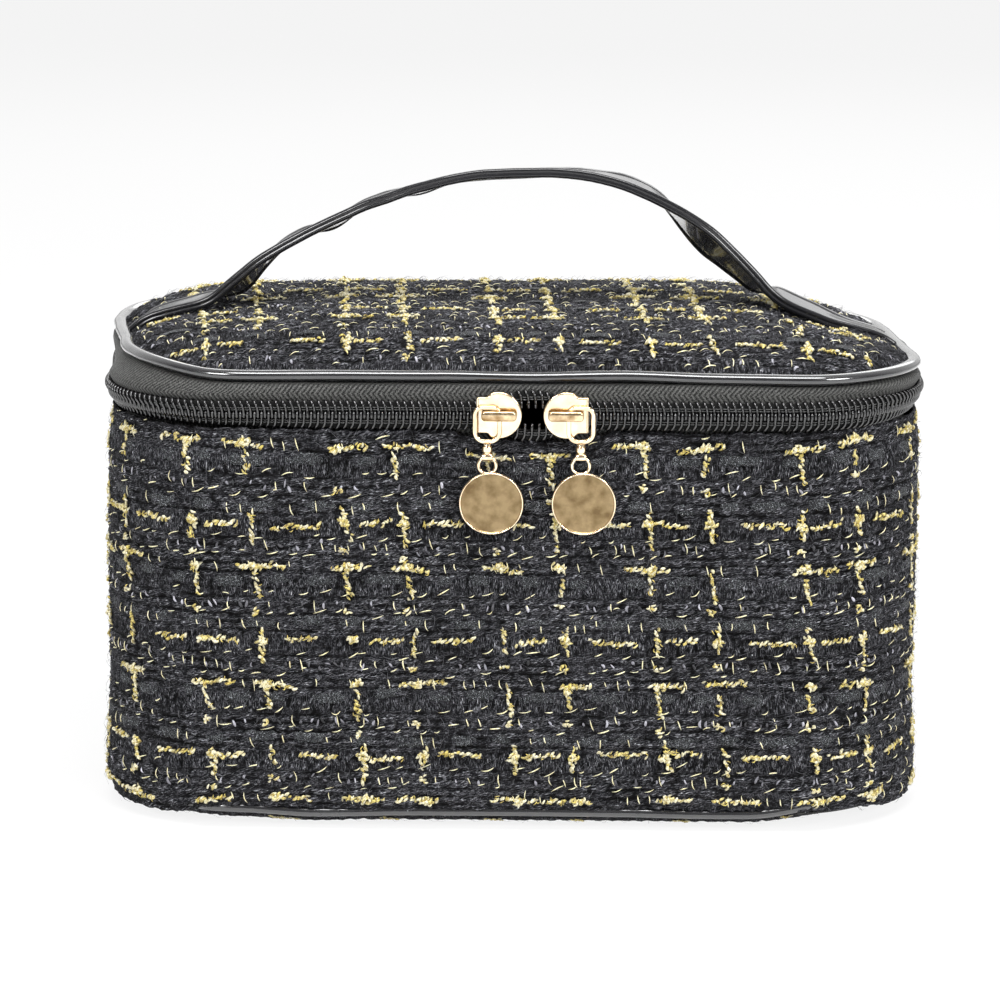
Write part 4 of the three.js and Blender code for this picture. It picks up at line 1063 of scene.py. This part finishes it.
def zip_space(u, z, out):
    z, out = zip_lean(u, zip_height + z, out)
    return round_case(u, z, out)


# One turn of the coil as (along, up from the middle, out), from its back edge over the front to its tip
coil_turn = smooth_line(np.array([
    (-0.8, 3.2, -0.6), (-1.1, 3.85, -0.25), (-1.05, 4.05, 0.2), (-0.75, 3.75, 0.8), (-0.3, 3.0, 1.2),
    (-0.08, 2.4, 1.28), (0.02, 1.4, 1.2), (0.08, 0.6, 1.4), (0.1, -0.2, 1.52), (0.1, -0.72, 1.3),
    (0.1, -0.85, 0.7), (0.1, -0.5, 0.1)]) * 0.001, 1)
coil_wires = np.full(len(coil_turn), coil_wire)
coil_wires[-10:-3] *= 1.18
# The two rows of stitches over each coil: height over the chain's middle, and how far each lags the turn
stitch_rows = ((0.00224, 0.00092), (0.0016, 0.00104))
stitch_length, stitch_thick = 0.0012, 0.00012
stitch_share = np.linspace(-0.5, 0.5, 5)
stitch_arch = 0.00075 + 0.00035 * np.cos(np.pi * stitch_share)
filler_turn = np.radians(np.arange(0, 360, 36))
for half, body, side, offset in (("upper", "lid", 1, 0.0), ("lower", "case", -1, 0.5)):
    first = math.ceil((zip_start + 0.001) / coil_pitch)
    last = math.floor((outline_length - zip_start - 0.001) / coil_pitch - offset)
    turns, dashes = [], []
    for k in range(first, last):
        u = (k + offset) * coil_pitch
        drop = side * float(chain_part(np.array(u)))
        turns.append((coil_turn * [1, side, 1] + [u, drop, 0], coil_wires, 1.0, 0.0))
        for height, lag in stitch_rows:
            dash = np.stack([u + lag + stitch_length * stitch_share,
                             side * height + drop + 0 * stitch_share, stitch_arch], axis=1)
            dashes.append((dash, stitch_thick, 1.0, 0.0))
    points, faces, _ = spin(turns, 8)
    coil = new_piece(f"zip_coil_{half}", zip_space(*points.T), faces, coil_finish)
    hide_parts(f"zip_chain_{half}")
    points, faces, _ = spin(dashes, 5)
    sewing = new_piece(f"zip_stitches_{half}", zip_space(*points.T), faces, sewing_finish)
    cord = np.stack([0.0001 + 0.00062 * np.cos(filler_turn),
                     zip_height + side * 0.0024 + 0.00135 * np.sin(filler_turn)], axis=1)
    filler = swept_band(f"zip_filler_{half}", cord, zip_way, filler_finish, step=0.001,
                        part=lambda u, z, out, side=side: zip_lean(u, z + side * chain_part(u), out))
    for piece in (coil, sewing, filler):
        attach(piece, body)

# ---- hinge strip
# A strip of the tweed along the back joins the back panel to the lid; the real strip bends when the lid
# folds back, and here it is laid in one shape and shifted with the lid's edge.
hinge_path = [(-0.0024, 0.1168), (-0.0008, 0.1166), (0.0, 0.1176), (0.0, 0.1296), (-0.0006, 0.1305),
              (-0.0024, 0.1306)]
hinge_cloth, on_hinge, hinge_span = swept_cloth("hinge_cloth", *back_turns, hinge_path)


def bend_with_lid(piece):
    nudge(piece, settle(0.119, 0.13))
    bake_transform(piece)


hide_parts("hinge_strip")
bend_with_lid(hinge_cloth)
dress("hinge", on_hinge, decorate(*back_turns, 0.001, hinge_span - 0.001, 64, (back_plaid, 0.0105)),
      fringe(fringe_rng, 150, *back_turns, 0.001, hinge_span - 0.001), bend_with_lid)

# ---- lid
# The lid: a crowned tweed panel over a foam pad, lined inside, with piping sewn round its edge.
lid_flange = 0.131
lid_edge = 0.133
lid_crown = 0.01
strap_press, press_depth, strap_bed = 0.6, 0.045, 0.0011
panel_edge = 0.0035
lid_piping = swept_band("lid_piping_cord", piping_loop(lid_flange), whole_way, piping_finish,
                        piping_waver(33, 0.0005))
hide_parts("lid_piping")
nudge(lid_piping, settle(0.12, 0.121))
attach(lid_piping, "lid")


def lid_height(x, y):
    """height of the lid: steep at its edge, nearly flat on top, pressed down under the strap's right end"""
    reach = np.clip((inset_of(x, y) - panel_edge) / (half_depth - panel_edge), 0, 1)
    soft = 0.0005 * patchy(x, y, 0.04, 0.03, 71) * np.clip(reach * 6, 0, 1)
    pressed = 1 - strap_press * ease((x - 0.072) / 0.026) * np.exp(-((y - 0.006) / press_depth) ** 2)
    crown = lid_crown * pressed * (1 - 0.1 * ease((np.abs(x) - 0.05) / 0.04))
    lift = lid_shift(x, y, 0)[..., 2]
    sewn_down = strap_bed * ease((np.abs(x) - 0.084) / 0.012) * ease((0.0125 - np.abs(y)) / 0.003)
    return lid_edge + lift + (crown - lift) * (1 - (1 - reach) ** 6) - sewn_down + soft


def on_lid(x, y, height):
    small = 0.0004
    z = lid_height(x, y)
    slope_x = (lid_height(x + small, y) - lid_height(x - small, y)) / (2 * small)
    slope_y = (lid_height(x, y + small) - lid_height(x, y - small)) / (2 * small)
    size = np.sqrt(1 + slope_x ** 2 + slope_y ** 2)
    raised = cloth_base + height
    return np.stack([x + lid_shift(x, y, 0)[..., 0] - raised * slope_x / size, y - raised * slope_y / size,
                     z + raised / size], axis=-1)


lid_cloth = clipped_cloth("lid_panel_cloth", 0.0008, 0.00062, 0.0030, on_lid)
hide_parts("lid_panel")
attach(lid_cloth, "lid")
lid_yarns = decorate(*plate_area, 72, (-0.0075, 0.004))
lid_yarns = [clear_of_corners(paths, 0.0042) for paths in lid_yarns]
lid_hairs = clear_of_corners(fringe(fringe_rng, 2400, -half_width + 0.005, half_width - 0.005,
                                    -half_depth + 0.005, half_depth - 0.005), 0.006)


def ride_lid(piece):
    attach(piece, "lid")


dress("lid_panel", on_lid, lid_yarns, lid_hairs, ride_lid)

pad_foot, pad_top, pad_inset = 0.1294, 0.1307, 0.0082
under_panel = 0.0034


def pad_crown(x, y):
    """how far the foam's upper face rises to lie under the lid's panel"""
    return lid_height(x, y) - under_panel - pad_top


def pad_shift(x, y, z):
    """the lid's shift; the crown has its lift already, so only the foam's foot and edge take it"""
    return lid_shift(x, y, z) * np.stack([1 + 0 * z, 0 * z, z < pad_top + 0.0002], axis=-1)


lid_foam = rounded_plate("lid_foam", pad_inset, pad_foot, pad_top, foam_finish, pad_crown)
nudge(lid_foam, pad_shift)
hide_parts("lid_pad")
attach(lid_foam, "lid")
lid_lining = rounded_plate("lid_lining_cloth", pad_inset, 0.1282, 0.1288, lining_finish)
nudge(lid_lining, settle(0.12, 0.121))
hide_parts("lid_lining")
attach(lid_lining, "lid")
lid_bound = 0.1288
lid_seam_tape = l_band("lid_seam_tape", "lid_seam_binding", [
    (-bound_start, lid_bound - binding), (-bound_spine - binding, lid_bound - binding),
    (-bound_spine - binding, lid_flange + 0.0005), (-bound_spine, lid_flange + 0.0005),
    (-bound_spine, lid_bound), (-bound_start, lid_bound)], "lid", tape_finish)
nudge(lid_seam_tape, settle(0.12, 0.121))

# ---- handle
# One strap of glossy black leathercloth folded round a core and edge-stitched, sewn flat into the lid's
# side seams; it rises in an arch and twists a little. The real strap swings on its two roots; here it is
# laid in one place.
strap_width, strap_thick = 0.021, 0.0023
# The strap's middle from left to right, as (x, height) in millimetres
strap_line = smooth_line(np.array([
    (-116.4, 131.6), (-113.8, 134.2), (-112, 135.9), (-109, 138.2), (-105, 139.9), (-98, 141.6),
    (-92.5, 143.2), (-89, 144.9), (-86, 147.4), (-82, 150.8), (-76, 155.5), (-69, 159.9), (-60, 165.0),
    (-45, 171.9), (-30, 176.9), (-15, 180.5), (2, 181.6), (18, 181.2), (30, 178.6), (41, 174.2),
    (50, 169.4), (58, 163.9), (65, 157.6), (71.5, 151.2), (74, 148.6), (77, 146.2), (80, 144.3), (85, 142.0),
    (89, 140.3), (93, 138.4), (97.7, 136.7), (102, 135.5), (106, 134.4), (109, 133.1), (111.5, 131.3)])
    * 0.001, 2)
# How far the strap's back edge leans up or down along its length, as (x in millimetres, degrees)
strap_lean = np.array([
    (-120, -5), (-100, -2.4), (-92, -2), (-85, -2.4), (-75, -3.4), (-60, -3.8), (-45, -4), (-30, -5.6),
    (-15, -7.8), (0, -8.6), (30, -8), (44, -8.5), (60, -9), (66, -6), (71, -4), (75, 0), (78, 1), (80, 1.5),
    (89, 0.5), (93, -0.8), (97.7, -4.6), (120, -5)])
# How much further the part behind its front edge curls, likewise
strap_curl = np.array([
    (-120, 0), (-92, 0), (-88, -6), (-82, -20), (-76, -8), (-70, 0), (-62, 0), (-58, -6), (-55, -9),
    (-51, -6), (-47, 0), (-36, 0), (-30, -4), (-27, -5), (-22, 0), (4, 0), (14, 2), (24, 4.5), (34, 8.5),
    (42, 7), (46, 0), (50, -12), (56, -22), (62, -22), (67, -20), (71, -18), (73.5, -14), (76.5, -2),
    (79, 0), (120, 0)])
strap_finish = leathercloth("strap_leathercloth", 0.6, 1.5, 0.06, 0.15, 0.2, 0.12)


def strap_section():
    """the strap cut across: flat faces, a stitched groove, and two rolled edges along each side"""
    half, face = strap_width / 2, strap_thick / 2
    roll = 0.00088
    turn = np.radians([115, 90, 60, 30, 0, -20, -40])
    groove = [(0.0, face), (half * 0.5, face), (half - 0.0034, face), (half - 0.0029, face - 0.0001),
              (half - 0.0026, face - 0.00042), (half - 0.0023, face - 0.0001)]
    rolled = np.stack([half - roll + roll * np.cos(turn), roll * 0.7 + roll * np.sin(turn)], axis=1)
    upper = np.concatenate([groove, rolled])
    right = np.concatenate([upper, upper[::-1] * [1, -1]])
    return np.concatenate([right, right[::-1][1:-1] * [-1, 1]])


def strap_mesh(name, rings=300, smoothing=9):
    """the strap's section carried along its line, leaning and curling as the tables say"""
    steps = lengths_along(strap_line)
    at = np.linspace(0, steps[-1], rings)
    x, z = np.interp(at, steps, strap_line[:, 0]), np.interp(at, steps, strap_line[:, 1])
    ahead = np.stack([np.gradient(x), 0 * x, np.gradient(z)], axis=1)
    ahead /= np.linalg.norm(ahead, axis=1)[:, None]
    tables = (np.radians(np.interp(x * 1000, *table.T)) for table in (strap_lean, strap_curl))
    lean, curl = (np.convolve(np.pad(angle, smoothing // 2, "edge"), np.ones(smoothing) / smoothing, "valid")
                  for angle in tables)
    level = np.stack([0 * lean, np.cos(lean), np.sin(lean)], axis=1)
    across = level - (level * ahead).sum(axis=1)[:, None] * ahead
    across /= np.linalg.norm(across, axis=1)[:, None]
    up = np.cross(ahead, across)
    section = strap_section()
    side, face = section[None, :, 0], section[None, :, 1:]
    dimple = 0.00014 * patchy(at[:, None] + 0 * side, 0 * at[:, None] + side, 0.007, 0.005, 81)
    points = (np.stack([x, 0 * x, z], axis=1)[:, None] + side[..., None] * across[:, None]
              + (face + dimple[..., None]) * up[:, None])
    behind = np.maximum(side + strap_width / 2 - 0.0034, 0)
    points[..., 1] -= behind * (1 - np.cos(curl))[:, None]
    points[..., 2] += behind * np.sin(curl)[:, None]
    return new_piece(name, points, tube_faces(rings, len(section)), strap_finish)


strap = strap_mesh("strap")
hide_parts("handle_strap", "handle_root_left", "handle_root_right", "handle_tail_left",
            "handle_tail_right")
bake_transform(strap)

# ---- sliders, pullers and discs
# Die-cast parts plated in pale gold: each slider carries a bridge, a looped puller with a ribbed neck,
# and a plain disc that hangs on a ring.
handled_effect, given, made = new_effect(
    "handled_metal", {"Place": (0, 0, 0), "Size": 300.0}, ["Smudge", "Scratch"])
smudges = noise(handled_effect, given["Size"], 4.0, given["Place"])
stretched = put(handled_effect, "Mapping", inputs={"Vector": given["Place"],
                                                   "Rotation": (0.0, 0.5, 0.0), "Scale": (900, 4000, 9000)})
handled_effect.links.new(smudges, made["Smudge"])
handled_effect.links.new(noise(handled_effect, 1.0, 2.0, stretched.outputs[0]), made["Scratch"])


def gold_plate(name, pale, deep, rough_low, rough_high, scratch_strength):
    """plated metal: pale and deep patches, dulled by smudges and finely scratched"""
    finish, tree, shader = new_finish(name, pale, rough_low, metallic=1.0)
    handled = put(tree, "Group", {"node_tree": handled_effect},
                  {"Place": put(tree, "TexCoord").outputs["Object"], "Size": 260.0}).outputs
    patch = spread(tree, handled["Smudge"], 0.38, 0.68)
    dull = maths(tree, "MULTIPLY_ADD", handled["Scratch"], 0.35, handled["Smudge"])
    join(tree, shader, base_color=blended(tree, patch, pale, deep),
         roughness=spread(tree, dull, 0.4, 0.95, rough_low, rough_high))
    relief(tree, shader, handled["Scratch"], scratch_strength, 0.0001)
    return finish


polished = gold_plate("polished_pale_gold", (0.95, 0.8, 0.58), (0.88, 0.68, 0.44), 0.1, 0.24, 0.1)
brushed = gold_plate("brushed_gold", (0.34, 0.25, 0.135), (0.17, 0.115, 0.055), 0.28, 0.5, 1.0)
# the bridge's gold: a dark brown mottle painted in as the reflections on its curved face
painted_reflection_gold = gold_plate("bridge_gold_painted_reflection", (0.85, 0.68, 0.44), (0.26, 0.15, 0.055), 0.14, 0.3, 0.2)
# a darker copy of the same gold for faces turned from the front: painted shade on the sides
painted_side_shade_gold = gold_plate("painted_side_shade_gold", (0.5, 0.33, 0.14), (0.3, 0.18, 0.065), 0.22, 0.34, 0.1)


def ring_stack(rings, closed=False):
    """a skin over rings of points; its ends are capped, or it closes on itself"""
    return np.concatenate(rings), tube_faces(len(rings), len(rings[0]), closed)


def cast(outline, levels):
    """a plate: its outline seen from the front, drawn in at each level of height over the wall"""
    outline = np.asarray(outline, float)
    ahead = np.roll(outline, -1, axis=0) - np.roll(outline, 1, axis=0)
    ahead /= np.linalg.norm(ahead, axis=1)[:, None]
    inward = np.stack([-ahead[:, 1], ahead[:, 0]], axis=1)
    return ring_stack([np.insert(outline + inset * inward, 1, -out, axis=1) for inset, out in levels])


def turned(profile, steps=28):
    """a lathe-turned part about its upright axis, from (radius, height) points"""
    turn = np.linspace(0, 2 * np.pi, steps, endpoint=False)
    return ring_stack([np.stack([radius * np.cos(turn), radius * np.sin(turn), z + 0 * turn], axis=1)
                       for radius, z in profile])


def hooped(line, section):
    """a closed wire: line runs in the plane of the wall, section holds (across, out) points"""
    ahead = np.roll(line, -1, axis=0) - np.roll(line, 1, axis=0)
    ahead /= np.linalg.norm(ahead, axis=1)[:, None]
    across = np.stack([ahead[:, 1], 0 * ahead[:, 0], -ahead[:, 0]], axis=1)
    middle = np.insert(line, 1, 0, axis=1)
    rings = [point + section[:, :1] * way + np.stack([0 * section[:, 1], -section[:, 1],
                                                      0 * section[:, 1]], axis=1)
             for point, way in zip(middle, across)]
    return ring_stack(rings, True)


def moved(shell, x=0.0, out=0.0, z=0.0):
    return shell[0] + [x, -out, z], shell[1]


def metal_piece(name, shells, middle, facing, finishes, body, replaces=None):
    """joins shells in millimetres into one part; faces turned from the front take a darker gold, painted
    shade on the sides
    """
    points, faces, owner, base = [], [], [], 0
    for shell_points, shell_faces, *finish_index in shells:
        points.append(shell_points)
        faces += [[base + corner_index for corner_index in face] for face in shell_faces]
        owner += [finish_index[0] if finish_index else 0] * len(shell_faces)
        base += len(shell_points)
    points = np.concatenate(points) * [0.001 * facing, 0.001, 0.001] + middle
    piece = new_piece(name, points, faces, finishes[0])
    for finish in (painted_side_shade_gold, *finishes[1:]):
        piece.data.materials.append(finish)
    shell = bmesh.new()
    shell.from_mesh(piece.data)
    bmesh.ops.recalc_face_normals(shell, faces=shell.faces)
    for face, given_finish in zip(shell.faces, owner):
        # faces turned from the front take the darker gold of painted shade
        face.material_index = 1 if given_finish != 1 and abs(face.normal.y) < 0.62 else given_finish
    shell.to_mesh(piece.data)
    shell.free()
    if replaces:
        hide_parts(replaces)
    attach(piece, body)


def circle(radius, steps=32, x=0.0, z=0.0):
    turn = np.linspace(0, 2 * np.pi, steps, endpoint=False)
    return np.stack([x + radius * np.cos(turn), z + radius * np.sin(turn)], axis=1)


def rounded_box(half_x, low, high, corners):
    """an outline with its four corners rounded: radii for the lower and the upper ones"""
    line = []
    for x_side, z_at, radius, start in ((1, low, corners[0], -90), (1, high, corners[1], 0),
                                        (-1, high, corners[1], 90), (-1, low, corners[0], 180)):
        centre = (x_side * (half_x - radius), z_at + radius if z_at == low else z_at - radius)
        for turn in np.radians(np.linspace(start, start + 90, 9)):
            line.append((centre[0] + radius * math.cos(turn), centre[1] + radius * math.sin(turn)))
    return np.array(line)


# Slider plate: a square tail that opens into a round head; millimetres from the slider's middle
tail_x, neck_x, head_x, head_radius, tail_z = -6.35, -3.75, -0.25, 6.6, 5.1
meet = math.radians(108)
meet_x, meet_z = head_x + head_radius * math.cos(meet), head_radius * math.sin(meet)
curve = np.linspace(0, 1, 9)[:, None]
bend_in = ((1 - curve) ** 2 * [neck_x, tail_z] + 2 * curve * (1 - curve) * [(neck_x + meet_x) / 2, tail_z]
           + curve ** 2 * [meet_x, meet_z])
tail_corner = [(tail_x, tail_z - 0.45), (tail_x + 0.06, tail_z - 0.2), (tail_x + 0.2, tail_z - 0.06),
               (tail_x + 0.45, tail_z)]
upper_side = np.concatenate([tail_corner, bend_in])
head_arc = circle(head_radius, 90, head_x)
head_arc = head_arc[np.abs(np.arctan2(head_arc[:, 1], head_arc[:, 0] - head_x)) < meet - 0.02]
head_arc = head_arc[np.argsort(np.arctan2(head_arc[:, 1], head_arc[:, 0] - head_x))]
slider_outline = np.concatenate([upper_side * [1, -1], head_arc, upper_side[::-1]])
rim_edge = np.array([(tail_x + 0.3, tail_z - 0.3), (neck_x, tail_z - 0.3), (meet_x, meet_z - 0.3),
                     (head_x, head_radius - 0.3), (1.2, 6.1)])
pill = rounded_box(4.95, -1.25, 1.7, (1.1, 1.1))
foot_x = 3.7
loop_line = rounded_box(3.42, -6.68, 2.82, (2.7, 1.9))
spin_round = np.linspace(0, 2 * np.pi, 20, endpoint=False)
loop_section = np.stack([0.625 * np.sign(np.cos(spin_round)) * np.abs(np.cos(spin_round)) ** 0.7,
                         0.6 * np.sign(np.sin(spin_round)) * np.abs(np.sin(spin_round)) ** 0.7], axis=1)
loop_section[:, 1] -= 0.16 * np.exp(-(loop_section[:, 0] / 0.2) ** 2) * (loop_section[:, 1] > 0.3)
neck_shape = [(0.8, -6.95), (1.15, -7.1), (1.15, -7.9), (1.36, -8.05), (1.4, -8.3), (1.4, -9.35),
              (1.34, -9.55), (1.12, -9.7), (1.12, -10.2), (0.8, -10.3)]
eye_section = np.array([(-0.34, -1.3), (-0.34, 1.3), (-0.24, 1.42), (0.24, 1.42), (0.34, 1.3), (0.34, -1.3),
                        (0.24, -1.42), (-0.24, -1.42)])
eye = hooped(circle(0.76, 28), eye_section)
eye = (eye[0][:, [1, 0, 2]], eye[1])
hang_out, rim_out, lean_back = 4.0, 4.7, 4
eye_middle, ring_middle, disc_middle = -11.05, -13.5, -24.65
pivot = np.array([-foot_x, -hang_out, -12.75])


def hung(shell, back, aside):
    """lets a part hang from its pivot: its foot leans back on the cloth and swings aside, in degrees"""
    x, y, z = (shell[0] - pivot).T
    back, aside = math.radians(back), math.radians(aside)
    y, z = y * math.cos(back) - z * math.sin(back), y * math.sin(back) + z * math.cos(back)
    x, z = x * math.cos(aside) - z * math.sin(aside), x * math.sin(aside) + z * math.cos(aside)
    return np.stack([x, y, z], axis=1) + pivot, shell[1]


disc_shape = [(0.05, -0.52), (8.3, -0.52), (8.42, -0.6), (8.5, -0.84), (8.6, -0.9), (8.78, -0.86),
              (8.94, -0.6), (9.0, -0.3), (9.0, 0.3), (8.94, 0.6), (8.78, 0.86), (8.6, 0.9), (8.5, 0.84),
              (8.42, 0.6), (8.3, 0.52), (6.0, 0.55), (3.0, 0.57), (0.05, 0.58)]
plate_levels = [(0.3, 1.9), (0.06, 1.98), (0, 2.2), (0, 2.72), (0.07, 2.95), (0.22, 3.07), (0.34, 3.1),
                (0.6, 3.1)]
bridge_levels = [(0.4, 4.95), (0.06, 5.08), (0, 5.3), (0.05, 5.6), (0.2, 5.85), (0.5, 6.02), (0.85, 6.1),
                 (1.1, 6.11)]
back_plate = [(-5.85, -5), (5.85, -5), (5.85, 5), (-5.85, 5)]
diamond = [(2.25, 0), (3.75, -0.85), (5.25, 0), (3.75, 0.85)]
ring_wire = 0.48 * np.stack([np.cos(spin_round), np.sin(spin_round)], axis=1)
rim_wire = np.stack([0.24 * np.cos(spin_round), 0.3 * np.sin(spin_round)], axis=1)
slider_raise = 0.00055
for side, middle_x, facing, aside, slack in (("left", left_slider, 1, 7.2, 0.4),
                                             ("right", right_slider, -1, 6.6, -0.5)):
    middle = (middle_x, -half_depth, zip_height)
    raised_middle = (middle_x, -half_depth, zip_height + slider_raise)
    rims = [cast(np.concatenate([rim_edge, rim_edge[::-1] - [0, 0.6]]) * [1, way], [(0, 0.3), (0, 1.95)])
            for way in (1, -1)]
    feet = [cast(circle(1.0, 20, x), [(0, 3.0), (0, 5.2)]) for x in (-foot_x, foot_x)]
    metal_piece(f"slider_{side}_cast", [
        cast(slider_outline, plate_levels), cast(back_plate, [(0, -3.1), (0, -2.1)]),
        cast(diamond, [(0, -2.2), (0, 2.0)]), (*cast(pill, bridge_levels), 2), *feet, *rims],
        raised_middle, facing, (polished, painted_reflection_gold), f"slider_{side}", f"slider_{side}")
    at = slack - foot_x
    metal_piece(f"pull_{side}_loop", [
        moved(hooped(loop_line, loop_section), at, hang_out), moved(turned(neck_shape), at, hang_out),
        moved(eye, at, hang_out, eye_middle)],
        middle, facing, (polished,), f"pull_{side}", f"pull_{side}")
    plate = turned(disc_shape, 120)
    plate = moved((plate[0][:, [0, 2, 1]] * [1, -1, 1], plate[1]), -foot_x, hang_out, disc_middle)
    metal_piece(f"disc_{side}_plate", [hung(plate, lean_back, facing * aside)],
                middle, facing, (brushed,), f"disc_{side}", f"disc_{side}")
    rim = moved(hooped(circle(8.8, 120), rim_wire), -foot_x, rim_out, disc_middle)
    metal_piece(f"disc_{side}_ring", [
        moved(hooped(circle(2.45, 48), ring_wire), at, hang_out, ring_middle),
        hung(rim, lean_back, facing * aside)],
        middle, facing, (polished,), f"disc_{side}")
